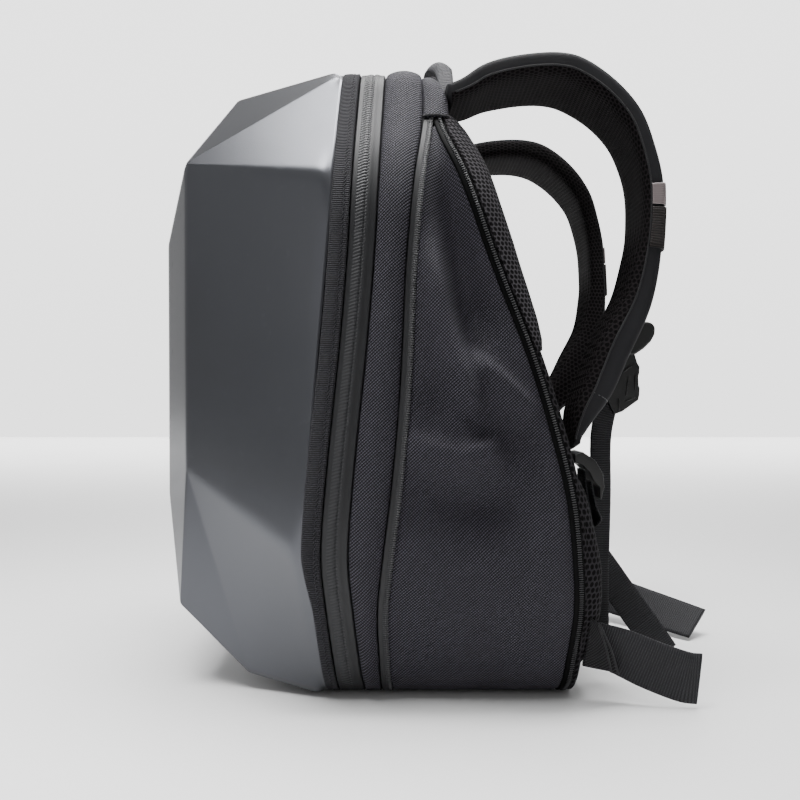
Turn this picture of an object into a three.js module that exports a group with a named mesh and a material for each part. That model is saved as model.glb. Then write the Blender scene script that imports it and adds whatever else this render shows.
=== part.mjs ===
// Hard-shell motorcycle backpack, standing on its base with the expansion gusset open.
// Millimetres, +Z up, +Y towards the wearer, +X towards the wearer's right.
import * as THREE from "three";

// Driving dimensions
const BAG_HEIGHT = 486;
const GAP = 0.4;
const SHELL_WALL = 3;
const CLOTH = 2;
const BINDING_WIDTH = 12.5;
const BINDING_PROUD = 1.4;
const ZIP_WIDTH = 20;
const TAPE_WIDTH = 8;
const COIL_WIDTH = 6;
const BAND_PUFF = 4.5;
const APEX_Z = 438;
const WEDGE_TOP_Z = 430;
const PANEL_THICKNESS = 5;
const CORNER_STEPS = 4;
const RUN_STEP = 46;
const UNDER_FROM = 0.2;
const UNDER_TO = 0.9;

// Corners of the bag's outline seen from the front, right half, top to bottom
const OUTLINE = [
  { name: "crown", x: 97, z: BAG_HEIGHT, fillet: 22 },
  { name: "shoulder", x: 150, z: 389, fillet: 34 },
  { name: "hip", x: 155, z: 112, fillet: 40 },
  { name: "foot", x: 118, z: 0, fillet: 26 },
];

// How far back each edge of the bag stands at each height
const PROFILE = [
  { z: 0, rim: -99, seam: -46, back: 88 },
  { z: 30, rim: -103, seam: -48, back: 91 },
  { z: 70, rim: -107, seam: -49, back: 94 },
  { z: 112, rim: -110, seam: -45, back: 91 },
  { z: 160, rim: -107, seam: -39, back: 85 },
  { z: 212, rim: -102, seam: -34, back: 72 },
  { z: 260, rim: -97, seam: -31, back: 57 },
  { z: 325, rim: -91.5, seam: -28, back: 32 },
  { z: 389, rim: -88, seam: -22, back: 10 },
  { z: 438, rim: -86, seam: -15.5, back: -8 },
  { z: BAG_HEIGHT, rim: -84, seam: -15, back: -5 },
];

// Front corners of the faceted shell, right half
const SHELL = {
  roof: { x: 60, y: -173, z: 474 },
  brow: { x: 95, y: -209, z: 412 },
  chest: { x: 50, y: -236, z: 357 },
  belly: { x: 50, y: -235, z: 147 },
  flank: { x: 95, y: -208, z: 171 },
  chin: { x: 88, y: -215, z: 64 },
  sole: { x: 100, y: -158, z: 13 },
};

// Drawn-in folds of the expansion wedge: height, place across it, depth and reach
const FOLDS = [
  { z: 392, across: 0.5, depth: 5, reachZ: 60, reachAcross: 0.45 },
  { z: 318, across: 0.42, depth: 8, reachZ: 55, reachAcross: 0.3 },
  { z: 262, across: 0.62, depth: 5, reachZ: 40, reachAcross: 0.22 },
  { z: 190, across: 0.4, depth: 5, reachZ: 60, reachAcross: 0.3 },
  { z: 215, across: 0.8, depth: 4, reachZ: 34, reachAcross: 0.14 },
];

// Middle line of a shoulder strap from its root to its tip
const STRAP = [
  { y: 3, z: 463, x: 92, width: 60, thick: 14 },
  { y: 10, z: 463.8, x: 91, width: 66, thick: 15 },
  { y: 27, z: 472.5, x: 90, width: 73, thick: 17 },
  { y: 57, z: 478.5, x: 90, width: 75, thick: 18 },
  { y: 81, z: 479, x: 90, width: 75, thick: 18 },
  { y: 96, z: 475, x: 90, width: 75, thick: 18 },
  { y: 119.5, z: 458.5, x: 92, width: 71, thick: 17 },
  { y: 136, z: 438, x: 94.5, width: 66, thick: 16 },
  { y: 145, z: 414, x: 97, width: 61, thick: 16 },
  { y: 150, z: 391, x: 98, width: 59, thick: 16 },
  { y: 150.5, z: 366, x: 98, width: 59, thick: 16 },
  { y: 148.5, z: 341, x: 98, width: 59, thick: 16 },
  { y: 140.5, z: 303, x: 98, width: 59, thick: 16 },
  { y: 125, z: 268, x: 99, width: 57, thick: 15 },
  { y: 111.5, z: 235, x: 101, width: 52, thick: 13 },
  { y: 100, z: 213, x: 105, width: 44, thick: 11 },
  { y: 94.5, z: 199, x: 107.5, width: 36, thick: 8 },
  { y: 92, z: 190.8, x: 109.5, width: 30, thick: 6 },
];
const LEFT_STRAP_SWING = 6;
const LEFT_STRAP_DROP = 9;
const LEFT_CHEST_SWING = 5.1;
const LEFT_CHEST_DROP = 5.6;

// Grab loop on the top, from one foot to the other
const HANDLE_FOOT_Z = BAG_HEIGHT + 2.1;
const HANDLE = [
  { x: 50, y: -8.5, z: HANDLE_FOOT_Z, width: 22, turn: 0 },
  { x: 51, y: -8.5, z: 506, width: 22, turn: 0 },
  { x: 38, y: -8.5, z: 518, width: 22, turn: 0 },
  { x: 0, y: -8.5, z: 522, width: 22, turn: 0 },
  { x: -38, y: -8.5, z: 518, width: 22, turn: 0 },
  { x: -51, y: -8.5, z: 506, width: 22, turn: 0 },
  { x: -50, y: -8.5, z: HANDLE_FOOT_Z, width: 22, turn: 0 },
];

// Webbing from the lower corner of the back board up to the ladder lock
const ADJUSTER = [
  { x: 96, y: 97.2, z: 22, width: 25, turn: 0 },
  { x: 98, y: 112, z: 50, width: 25, turn: 0 },
  { x: 104, y: 111.5, z: 105, width: 25, turn: 0 },
  { x: 107, y: 106.4, z: 126, width: 25, turn: 0 },
  { x: 109, y: 102.8, z: 145, width: 25, turn: 0 },
  { x: 110, y: 99.8, z: 161, width: 25, turn: 0 },
  { x: 110, y: 99, z: 173, width: 25, turn: 0 },
];

// Loose end that leaves the right ladder lock, crosses behind the chest strap's end and falls back
const ADJUSTER_TAIL_RIGHT = [
  { x: 112, y: 103.3, z: 164.8, width: 24, turn: 0 },
  { x: 112, y: 106.5, z: 149, width: 24, turn: 0 },
  { x: 106, y: 109.6, z: 142, width: 25, turn: 0 },
  { x: 92, y: 110, z: 136, width: 25, turn: 0 },
  { x: 74, y: 110, z: 128, width: 25, turn: 4 },
  { x: 60, y: 115.4, z: 117, width: 25, turn: 30 },
  { x: 55, y: 122, z: 100, width: 25, turn: 70 },
  { x: 54, y: 136, z: 78, width: 25, turn: 85 },
  { x: 54, y: 163, z: 40, width: 25, turn: 85 },
  { x: 54, y: 182, z: 13, width: 25, turn: 85 },
];

// Loose end that leaves the left ladder lock and hangs straight
const ADJUSTER_TAIL_LEFT = [
  { x: -112, y: 103.3, z: 164.8, width: 24, turn: 0 },
  { x: -113, y: 106.7, z: 146, width: 24, turn: 0 },
  { x: -113, y: 113, z: 132, width: 25, turn: 0 },
  { x: -113, y: 119.5, z: 105, width: 25, turn: 0 },
  { x: -113, y: 123, z: 62, width: 25, turn: 0 },
];

// Loose end of the chest strap
const STERNUM_TAIL = [
  { x: 84, y: 126.4, z: 217.3, width: 16, turn: 86 },
  { x: 84, y: 123, z: 198, width: 16, turn: 86 },
  { x: 83, y: 121.2, z: 150, width: 16, turn: 86 },
  { x: 82, y: 120, z: 90, width: 16, turn: 86 },
  { x: 82, y: 120, z: 24, width: 16, turn: 86 },
];

// Waist belt on the right, from under its wing to its hemmed end
const BELT_RIGHT = [
  { x: 126.4, y: 101.8, z: 45, width: 38, turn: -68 },
  { x: 127.6, y: 122, z: 39.5, width: 38, turn: -72 },
  { x: 132.5, y: 145, z: 30.5, width: 38, turn: -80 },
  { x: 136, y: 170, z: 22.5, width: 38, turn: -86 },
  { x: 136.5, y: 179.5, z: 21.6, width: 38, turn: -86 },
];

// Waist belt on the left, curving inward and rolling over
const BELT_LEFT = [
  { x: -127.2, y: 103.1, z: 45, width: 38, turn: 68 },
  { x: -123, y: 133, z: 35, width: 38, turn: 72 },
  { x: -95, y: 175, z: 26, width: 38, turn: 66 },
  { x: -76, y: 197, z: 21.5, width: 38, turn: 55 },
  { x: -32, y: 243, z: 13.2, width: 38, turn: 40 },
];

// Ladder lock seen from the side, round its outline from the strap tip
const LADDER_LOCK = [
  { y: 90.5, z: 185.5 },
  { y: 97, z: 187 },
  { y: 106, z: 181 },
  { y: 112, z: 171 },
  { y: 113, z: 161 },
  { y: 110.7, z: 151.5 },
  { y: 108.8, z: 152.5 },
  { y: 109.2, z: 160.5 },
  { y: 104.5, z: 165.5 },
  { y: 101.5, z: 172 },
  { y: 96.5, z: 177 },
  { y: 90.5, z: 179.5 },
];
const LADDER_LOCK_WIDTH = 31;
const LADDER_LOCK_X = 110;

// Chest buckle half seen face on, half widths at distances along it
const BUCKLE = [
  { along: 0, half: 7 },
  { along: 9, half: 9 },
  { along: 20, half: 9.5 },
  { along: 31, half: 8 },
  { along: 42, half: 9.5 },
  { along: 49.5, half: 7.5 },
];
const BUCKLE_THICKNESS = 9;
const SLIDER_TUBE = 3;
const SLIDER_RADIUS = 9;
const SLIDER_TUBE_SIDES = 6;
const SLIDER_SIDES = 14;
const WEBBING = 1.8;
const KEEPER = 1.6;

// Facets of the shell between its front corners, right half, and the pairs that cross the middle
const SHELL_FACETS = [
  ["roof", "chest", "brow"],
  ["chest", "belly", "flank", "brow"],
  ["belly", "chin", "flank"],
  ["flank", "chin", "sole"],
];
const SHELL_MIDDLE = [
  ["roof", "chest"],
  ["chest", "belly"],
  ["belly", "chin"],
  ["chin", "sole"],
];

// Front corner that each stretch of the rim runs to, clockwise from the right crown
const SHELL_SIDES = [
  { front: "brow", side: 1, until: "hip", untilSide: 1 },
  { front: "flank", side: 1, until: "foot", untilSide: 1 },
  { front: "sole", side: 1, until: "foot", untilSide: -1 },
  { front: "sole", side: -1, until: "foot", untilSide: -1 },
  { front: "flank", side: -1, until: "hip", untilSide: -1 },
  { front: "brow", side: -1, until: "crown", untilSide: -1 },
  { front: "roof", side: -1, until: "crown", untilSide: 1 },
  { front: "roof", side: 1, until: "crown", untilSide: 1 },
];

// Sections of the bands: place across, and how far the faces stand out
const BINDING_SECTION = [
  { across: 0, outer: 0.6, inner: -2.4 },
  { across: 0.2, outer: BINDING_PROUD, inner: -2.4 },
  { across: 0.8, outer: BINDING_PROUD, inner: -2.4 },
  { across: 1, outer: 0.6, inner: -2.4 },
];
const ZIP_SECTION = [
  { across: 0, outer: -0.4, inner: -CLOTH },
  { across: 0.5, outer: 0.8, inner: -CLOTH },
  { across: 1, outer: -0.4, inner: -CLOTH },
];
const BAND_SECTION = [
  { across: 0, outer: -0.8, inner: -3 },
  { across: 0.12, outer: 0.5 * BAND_PUFF, inner: -2.2 },
  { across: 0.35, outer: 0.95 * BAND_PUFF, inner: -1 },
  { across: 0.65, outer: 0.95 * BAND_PUFF, inner: -1 },
  { across: 0.88, outer: 0.5 * BAND_PUFF, inner: -2.2 },
  { across: 1, outer: -0.8, inner: -3 },
];
const CAP_SECTION = [
  { across: 0, outer: 0, inner: -2.4 },
  { across: 0.3, outer: 1.6, inner: -2.2 },
  { across: 0.7, outer: 1.4, inner: -2.2 },
  { across: 1, outer: -0.4, inner: -2.4 },
];
const TAPE_SECTION = [
  { across: 0, outer: -0.6, inner: -CLOTH },
  { across: 0.6, outer: 0.3, inner: -CLOTH },
  { across: 1, outer: 0.6, inner: -CLOTH },
];
const COIL_SECTION = [
  { across: 0, outer: -0.2, inner: -2.4 },
  { across: 0.35, outer: 1.1, inner: -2.4 },
  { across: 0.75, outer: 1.1, inner: -2.4 },
  { across: 1, outer: 0, inner: -2.4 },
];

// Back board and pads: thickness at each height, and how full they are across
const PANEL_ROWS = [
  { z: BAG_HEIGHT, thick: PANEL_THICKNESS },
  { z: 0, thick: PANEL_THICKNESS },
];
const PANEL_COLUMNS = [
  { across: -1, fill: 0.7 },
  { across: -0.97, fill: 1 },
  { across: 0, fill: 1 },
  { across: 0.97, fill: 1 },
  { across: 1, fill: 0.7 },
];
const PANEL_INSET = 0.6;
const PAD_UPPER = [
  { z: 441, thick: 2 },
  { z: 434, thick: 6.5 },
  { z: 420, thick: 9.5 },
  { z: 390, thick: 11.5 },
  { z: 340, thick: 11.5 },
  { z: 308, thick: 9.7 },
  { z: 285, thick: 7.5 },
  { z: 270, thick: 5 },
  { z: 262, thick: 1.8 },
];
const PAD_LOWER = [
  { z: 168, thick: 1.8 },
  { z: 160, thick: 4.2 },
  { z: 141, thick: 6.6 },
  { z: 105, thick: 11.5 },
  { z: 60, thick: 10.5 },
  { z: 42, thick: 8.5 },
  { z: 34, thick: 5 },
  { z: 30, thick: 1.8 },
];
const PAD_COLUMNS = [
  { across: -1, fill: 0.25 },
  { across: -0.975, fill: 0.65 },
  { across: -0.92, fill: 0.9 },
  { across: -0.8, fill: 1 },
  { across: 0, fill: 1 },
  { across: 0.8, fill: 1 },
  { across: 0.92, fill: 0.9 },
  { across: 0.975, fill: 0.65 },
  { across: 1, fill: 0.25 },
];
const PAD_INSET_UPPER = 5;
const PAD_INSET_LOWER = 9;

// Half section of a padded strap, in parts of its width and thickness
const STRAP_SECTION = [
  { across: -0.5, out: 0.12 },
  { across: -0.46, out: 0.4 },
  { across: -0.36, out: 0.5 },
  { across: 0.36, out: 0.5 },
  { across: 0.46, out: 0.4 },
  { across: 0.5, out: 0.12 },
];
const STRAP_STEPS = 30;
const KEEPER_STEPS = 4;
const WEBBING_STEPS = 3;
const WEDGE_STEPS = 8;

// Tapes round the outer face of a strap, in parts of its length
const STRAP_OUTSIDE = -1;
const REFLECTIVE_TAB = { from: 0.539, to: 0.576, thickness: 1.2 };
const STRAP_TAPE = { from: 0.581, to: 0.65, thickness: KEEPER };

// Chest strap hardware and belt wings, right side
const SLIDER_AT = new THREE.Vector3(84, 151.2, 277);
const BUCKLE_TOP = new THREE.Vector3(84, 145.4, 266);
const BUCKLE_BOTTOM = new THREE.Vector3(84, 130.6, 217.2);
const WING = [
  { root: { x: 139.2, y: 99.3, z: 67 }, tip: { x: 139.4, y: 106, z: 62 } },
  { root: { x: 132.6, y: 98.3, z: 46 }, tip: { x: 134.8, y: 115, z: 43 } },
  { root: { x: 125.4, y: 96.7, z: 27 }, tip: { x: 129.3, y: 122, z: 23 } },
];
const WING_THICKNESS = 3;
const BELT_THICKNESS = 2.2;
const X_AXIS = new THREE.Vector3(1, 0, 0);
const Y_AXIS = new THREE.Vector3(0, 1, 0);
const Z_AXIS = new THREE.Vector3(0, 0, 1);

// Satin and cloth colours
const material = (color, roughness) => new THREE.MeshStandardMaterial({ color, roughness });
const SHELL_GREY = material(0x2b2c30, 0.32);
const TWILL = material(0x23242b, 0.85);
const COATED_TAPE = material(0x33353b, 0.6);
const SPACER_MESH = material(0x1f1c1e, 0.9);
const SMOOTH_CLOTH = material(0x2f2c31, 0.75);
const WEB_CLOTH = material(0x28282c, 0.85);
const PLASTIC = material(0x18181a, 0.45);
const REFLECTIVE = material(0x8a8082, 0.4);

// Value of one profile column at a height
function columnAt(key) {
  const heights = PROFILE.map((row) => row.z);
  const values = PROFILE.map((row) => row[key]);
  const curve = new THREE.CubicInterpolant(heights, values, 1, [0]);
  return (z) => curve.evaluate(THREE.MathUtils.clamp(z, 0, BAG_HEIGHT))[0];
}
const rimAt = columnAt("rim");
const seamAt = columnAt("seam");
const backAt = columnAt("back");
const bandBackAt = (z) => seamAt(z) - TAPE_WIDTH;

// Closed outline with rounded corners, clockwise from the right crown, each point with its outward direction
function outlineLoop() {
  const right = OUTLINE.map((corner) => ({ ...corner, side: 1 }));
  const left = [...OUTLINE].reverse().map((corner) => ({ ...corner, side: -1 }));
  const corners = [...right, ...left].map((corner) => ({
    ...corner,
    at: new THREE.Vector2(corner.x * corner.side, corner.z),
  }));
  const towards = (corner, other) => {
    return corner.at.clone().lerp(other.at, corner.fillet / corner.at.distanceTo(other.at));
  };
  const points = [];
  corners.forEach((corner, i) => {
    const before = corners[(i + corners.length - 1) % corners.length];
    const after = corners[(i + 1) % corners.length];
    const end = towards(corner, after);
    const bend = new THREE.QuadraticBezierCurve(towards(corner, before), corner.at, end);
    const runEnd = towards(after, corner);
    const runs = Math.ceil(end.distanceTo(runEnd) / RUN_STEP);
    bend.getPoints(CORNER_STEPS).forEach((at, k) => {
      points.push({ at, corner: k === CORNER_STEPS / 2 ? corner.name : null, side: corner.side });
    });
    for (let k = 1; k < runs; k++) points.push({ at: end.clone().lerp(runEnd, k / runs), corner: null });
  });
  return points.map(({ at, corner, side }, i) => {
    const before = points[(i + points.length - 1) % points.length].at;
    const after = points[(i + 1) % points.length].at;
    const out = new THREE.Vector2(before.y - after.y, after.x - before.x).normalize();
    return { x: at.x, z: at.y, outX: out.x, outZ: out.y, corner, side };
  });
}
const LOOP = outlineLoop();
const RIGHT_EDGE = LOOP.slice(0, LOOP.findIndex((point) => point.z === 0) + 1);

// Point of the loop where a height is crossed between two of its points
function crossing(a, b, z) {
  const t = (z - a.z) / (b.z - a.z);
  const mixed = (key) => THREE.MathUtils.lerp(a[key], b[key], t);
  return { x: mixed("x"), z, outX: mixed("outX"), outZ: mixed("outZ") };
}

// The part of the loop below a height, from right to left under the base
function lowerRun(z) {
  const first = LOOP.findIndex((point) => point.z < z);
  const last = LOOP.findLastIndex((point) => point.z < z);
  const start = crossing(LOOP[first - 1], LOOP[first], z);
  const end = crossing(LOOP[last], LOOP[last + 1], z);
  return [start, ...LOOP.slice(first, last + 1), end];
}

// The part of the loop above a height, from left to right over the top
function upperRun(z) {
  const first = LOOP.findIndex((point) => point.z < z);
  const last = LOOP.findLastIndex((point) => point.z < z);
  const start = crossing(LOOP[last], LOOP[last + 1], z);
  const end = crossing(LOOP[first - 1], LOOP[first], z);
  return [start, ...LOOP.slice(last + 1), ...LOOP.slice(0, first), end];
}

// Half width of the rounded outline at a height
function halfWidthAt(z) {
  const k = RIGHT_EDGE.findIndex((point) => point.z <= z);
  return k < 1 ? RIGHT_EDGE[0].x : crossing(RIGHT_EDGE[k - 1], RIGHT_EDGE[k], z).x;
}

// Geometry from points and triangles, turned so that its faces look outward
function solidGeometry(points, triangles) {
  const volume = triangles.reduce((sum, [a, b, c]) => {
    return sum + points[a].dot(points[b].clone().cross(points[c]));
  }, 0);
  const facing = volume < 0 ? triangles.map(([a, b, c]) => [a, c, b]) : triangles;
  const geometry = new THREE.BufferGeometry().setFromPoints(points);
  geometry.setIndex(facing.flat());
  geometry.computeVertexNormals();
  return geometry;
}

// Closed wall between an outer and an inner grid of points; the rows of a ring join up
function wallSolid(outer, inner, ring = false) {
  const rows = outer.length;
  const columns = outer[0].length;
  const points = [...outer.flat(), ...inner.flat()];
  const outerAt = (i, j) => (i % rows) * columns + j;
  const innerAt = (i, j) => rows * columns + outerAt(i, j);
  const triangles = [];
  const quad = (a, b, c, d) => triangles.push([a, b, c], [a, c, d]);
  const spans = ring ? rows : rows - 1;
  for (let i = 0; i < spans; i++) {
    for (let j = 0; j < columns - 1; j++) {
      quad(outerAt(i, j), outerAt(i + 1, j), outerAt(i + 1, j + 1), outerAt(i, j + 1));
      quad(innerAt(i, j), innerAt(i, j + 1), innerAt(i + 1, j + 1), innerAt(i + 1, j));
    }
    const end = columns - 1;
    quad(outerAt(i, 0), innerAt(i, 0), innerAt(i + 1, 0), outerAt(i + 1, 0));
    quad(outerAt(i, end), outerAt(i + 1, end), innerAt(i + 1, end), innerAt(i, end));
  }
  if (!ring) {
    for (let j = 0; j < columns - 1; j++) {
      quad(outerAt(0, j), outerAt(0, j + 1), innerAt(0, j + 1), innerAt(0, j));
      quad(outerAt(spans, j), innerAt(spans, j), innerAt(spans, j + 1), outerAt(spans, j + 1));
    }
  }
  return solidGeometry(points, triangles);
}

// Place beside the outline; nothing stands out under the base
function beside(point, y, out) {
  const under = THREE.MathUtils.smoothstep(-point.outZ, UNDER_FROM, UNDER_TO);
  const proud = out > 0 ? out * (1 - under) : out;
  return new THREE.Vector3(point.x + point.outX * proud, y, point.z + point.outZ * proud);
}

// Band that follows the outline between two edges; its section gives the outer and inner faces
function outlineBand(run, frontAt, backEdgeAt, section, ring = false) {
  const face = (key) => run.map((point) => section.map((row) => {
    const y = THREE.MathUtils.lerp(frontAt(point.z), backEdgeAt(point.z), row.across);
    return beside(point, y, row[key]);
  }));
  return wallSolid(face("outer"), face("inner"), ring);
}

// Values of a path table at a place along it, with its middle line drawn as a smooth curve
function pathSampler(rows) {
  const curve = new THREE.CatmullRomCurve3(rows.map((row) => new THREE.Vector3(row.x, row.y, row.z)));
  return (u) => {
    const place = u * (rows.length - 1);
    const k = Math.min(Math.floor(place), rows.length - 2);
    const value = (key) => THREE.MathUtils.lerp(rows[k][key], rows[k + 1][key], place - k);
    return { at: curve.getPoint(u), along: curve.getTangent(u), value };
  };
}

// Directions across and out of a band at a place along its path
function bandAxes(along, sideAxis, turn) {
  const side = sideAxis.clone().addScaledVector(along, -sideAxis.dot(along)).normalize();
  const face = along.clone().cross(side);
  const angle = THREE.MathUtils.degToRad(turn);
  const across = side.clone().multiplyScalar(Math.cos(angle)).addScaledVector(face, Math.sin(angle));
  return { across, out: along.clone().cross(across) };
}

// Flat webbing along a path table
function webbing(rows, sideAxis = X_AXIS, thickness = WEBBING) {
  const sample = pathSampler(rows);
  const steps = (rows.length - 1) * WEBBING_STEPS;
  const face = (sign) => Array.from({ length: steps + 1 }, (_, i) => {
    const { at, along, value } = sample(i / steps);
    const { across, out } = bandAxes(along, sideAxis, value("turn"));
    const half = value("width") / 2;
    return [-half, half].map((edge) => {
      return at.clone().addScaledVector(across, edge).addScaledVector(out, sign * thickness / 2);
    });
  });
  return wallSolid(face(1), face(-1));
}

// One face of a shoulder strap at a place along it, grown by a distance
function strapFace(sample, u, sign, grow) {
  const { at, along, value } = sample(u);
  const { across, out } = bandAxes(along, X_AXIS, 0);
  const width = value("width") + 2 * grow;
  const thick = value("thick") + 2 * grow;
  return STRAP_SECTION.map((row) => {
    const edge = at.clone().addScaledVector(across, row.across * width);
    return edge.addScaledVector(out, sign * row.out * thick);
  });
}

// Path of the shoulder strap on one side
const strapRows = (side) => STRAP.map((row, k) => {
  const slack = side < 0 ? Math.sin((Math.PI * k) / (STRAP.length - 1)) : 0;
  const y = row.y + LEFT_STRAP_SWING * slack;
  return { ...row, x: row.x * side, y, z: row.z - LEFT_STRAP_DROP * slack };
});
function chestPlace({ x, y, z }, side) {
  if (side > 0) return new THREE.Vector3(x, y, z);
  return new THREE.Vector3(-x, y + LEFT_CHEST_SWING, z - LEFT_CHEST_DROP);
}

// Padded shoulder strap
function shoulderStrap(side) {
  const sample = pathSampler(strapRows(side));
  const face = (sign) => Array.from({ length: STRAP_STEPS + 1 }, (_, i) => {
    return strapFace(sample, i / STRAP_STEPS, sign, 0);
  });
  return wallSolid(face(1), face(-1));
}

// Tape that wraps the outer face and both edges of a shoulder strap over part of its length
function strapKeeper(side, { from, to, thickness }) {
  const sample = pathSampler(strapRows(side));
  const face = (grow) => Array.from({ length: KEEPER_STEPS + 1 }, (_, i) => {
    return strapFace(sample, THREE.MathUtils.lerp(from, to, i / KEEPER_STEPS), STRAP_OUTSIDE, grow);
  });
  return wallSolid(face(GAP + thickness), face(GAP));
}

// Faceted front shell: front facets, sides that run to the rim, and an inner skin
function frontShell() {
  const names = Object.keys(SHELL);
  const points = [];
  names.forEach((name) => {
    const { x, y, z } = SHELL[name];
    points.push(new THREE.Vector3(x, y, z), new THREE.Vector3(-x, y, z));
  });
  const corner = (name, side) => names.indexOf(name) * 2 + (side < 0 ? 1 : 0);
  const rimStart = points.length;
  LOOP.forEach((point) => points.push(beside(point, rimAt(point.z), 0)));
  const triangles = [];
  const facet = (ring) => {
    for (let k = 1; k < ring.length - 1; k++) triangles.push([ring[0], ring[k], ring[k + 1]]);
  };
  SHELL_FACETS.forEach((facetNames) => {
    facet(facetNames.map((name) => corner(name, 1)));
    facet(facetNames.map((name) => corner(name, -1)).reverse());
  });
  SHELL_MIDDLE.forEach(([upper, lower]) => {
    facet([corner(upper, 1), corner(upper, -1), corner(lower, -1), corner(lower, 1)]);
  });
  let at = LOOP.findIndex((point) => point.corner === "crown" && point.side > 0);
  SHELL_SIDES.forEach((row, k) => {
    const front = corner(row.front, row.side);
    const ends = (point) => point.corner === row.until && point.side === row.untilSide;
    while (k < SHELL_SIDES.length - 1 && !ends(LOOP[at])) {
      const next = (at + 1) % LOOP.length;
      triangles.push([front, rimStart + next, rimStart + at]);
      at = next;
    }
    const follow = SHELL_SIDES[(k + 1) % SHELL_SIDES.length];
    triangles.push([front, corner(follow.front, follow.side), rimStart + at]);
  });
  const count = points.length;
  const outward = points.map(() => new THREE.Vector3());
  triangles.forEach(([a, b, c]) => {
    const edge = points[b].clone().sub(points[a]);
    const normal = edge.cross(points[c].clone().sub(points[a]));
    [a, b, c].forEach((k) => outward[k].add(normal));
  });
  const inner = points.map((point, k) => {
    if (k < rimStart) return point.clone().addScaledVector(outward[k].normalize(), -SHELL_WALL);
    return beside(LOOP[k - rimStart], point.y, -SHELL_WALL);
  });
  const insideFaces = triangles.map(([a, b, c]) => [a + count, c + count, b + count]);
  LOOP.forEach((_, k) => {
    const a = rimStart + k;
    const b = rimStart + ((k + 1) % LOOP.length);
    insideFaces.push([a, b, b + count], [a, b + count, a + count]);
  });
  return solidGeometry([...points, ...inner], [...triangles, ...insideFaces]);
}

// Depth of the wedge's drawn-in folds at a height and a place across it
function foldDepth(z, across) {
  return FOLDS.reduce((sum, fold) => {
    const dz = (z - fold.z) / fold.reachZ;
    const da = (across - fold.across) / fold.reachAcross;
    return sum + fold.depth * Math.exp(-dz * dz - da * da);
  }, 0);
}

// Cloth wedge between the two halves of the expansion zip
function expansionGusset() {
  const run = lowerRun(WEDGE_TOP_Z);
  const places = Array.from({ length: WEDGE_STEPS + 1 }, (_, j) => j / WEDGE_STEPS);
  const face = (inset) => run.map((point) => places.map((across) => {
    const y = THREE.MathUtils.lerp(seamAt(point.z) + GAP, backAt(point.z) - COIL_WIDTH - GAP, across);
    const held = Math.sin(Math.PI * across) ** 0.5 * Math.abs(point.outX);
    return beside(point, y, -inset - foldDepth(point.z, across) * held);
  }));
  return wallSolid(face(0), face(CLOTH));
}

// Rear edge of the bag as the straight runs of the outline follow it
function edgeBackAt(z) {
  const k = Math.max(1, RIGHT_EDGE.findIndex((point) => point.z <= z));
  const [upper, lower] = [RIGHT_EDGE[k - 1].z, RIGHT_EDGE[k].z];
  return THREE.MathUtils.mapLinear(z, upper, lower, backAt(upper), backAt(lower));
}

// Rows of a thickness table with the outline's own heights put in between
function withEdgeHeights(table) {
  const [top, bottom] = [table[0].z, table[table.length - 1].z];
  const between = RIGHT_EDGE.map((point) => point.z).filter((z) => z < top && z > bottom);
  const heights = [...new Set([...table.map((row) => row.z), ...between])].sort((a, b) => b - a);
  return heights.map((z) => {
    const k = Math.max(1, table.findIndex((row) => row.z <= z));
    const [a, b] = [table[k - 1], table[k]];
    return { z, thick: THREE.MathUtils.mapLinear(z, a.z, b.z, a.thick, b.thick) };
  });
}

// Plate across the bag between two heights; its rows give the thickness, its columns the edge shape
function crossPlate(table, columns, edgeInset, frontAt) {
  const rows = withEdgeHeights(table);
  const face = (thicknessAt) => rows.map((row) => columns.map((column) => {
    const half = halfWidthAt(row.z) - edgeInset;
    return new THREE.Vector3(half * column.across, frontAt(row.z) + thicknessAt(row, column), row.z);
  }));
  return wallSolid(face((row, column) => row.thick * column.fill), face(() => 0));
}
const panelFrontAt = (z) => edgeBackAt(z) + GAP;
const padFrontAt = (z) => panelFrontAt(z) + PANEL_THICKNESS + GAP;

// Hooked ladder lock, the same section along its whole width
function ladderLock(side) {
  const outline = new THREE.Shape(LADDER_LOCK.map(({ y, z }) => new THREE.Vector2(y, z)));
  const geometry = new THREE.ExtrudeGeometry(outline, { depth: LADDER_LOCK_WIDTH, bevelEnabled: false });
  const axes = new THREE.Matrix4().makeBasis(Y_AXIS, Z_AXIS, X_AXIS);
  geometry.applyMatrix4(axes);
  return geometry.translate(LADDER_LOCK_X * side - LADDER_LOCK_WIDTH / 2, 0, 0);
}

// One half of the chest buckle, a plate with waisted sides
function sternumBuckle(side) {
  const along = BUCKLE_BOTTOM.clone().sub(BUCKLE_TOP).normalize();
  const across = new THREE.Vector3(0, -along.z, along.y);
  const face = (sign) => BUCKLE.map((row) => [-1, 1].map((edge) => {
    const at = BUCKLE_TOP.clone().addScaledVector(along, row.along).addScaledVector(across, edge * row.half);
    at.x += sign * BUCKLE_THICKNESS / 2;
    return chestPlace(at, side);
  }));
  return wallSolid(face(1), face(-1));
}

// Loop that carries the chest strap on a shoulder strap
function sternumSlider(side) {
  const loop = new THREE.TorusGeometry(SLIDER_RADIUS, SLIDER_TUBE, SLIDER_TUBE_SIDES, SLIDER_SIDES);
  const { x, y, z } = chestPlace(SLIDER_AT, side);
  return loop.rotateY(Math.PI / 2).translate(x, y, z);
}

// Piped cloth wing between the back board's corner and the waist belt
function beltWing(side) {
  const face = (inset) => WING.map((row) => [row.root, row.tip].map(({ x, y, z }) => {
    return new THREE.Vector3((x - inset) * side, y, z);
  }));
  return wallSolid(face(0), face(WING_THICKNESS));
}

const bag = new THREE.Group();
function addPiece(name, geometry, look) {
  const piece = new THREE.Mesh(geometry, look);
  piece.name = name;
  bag.add(piece);
}

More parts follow.
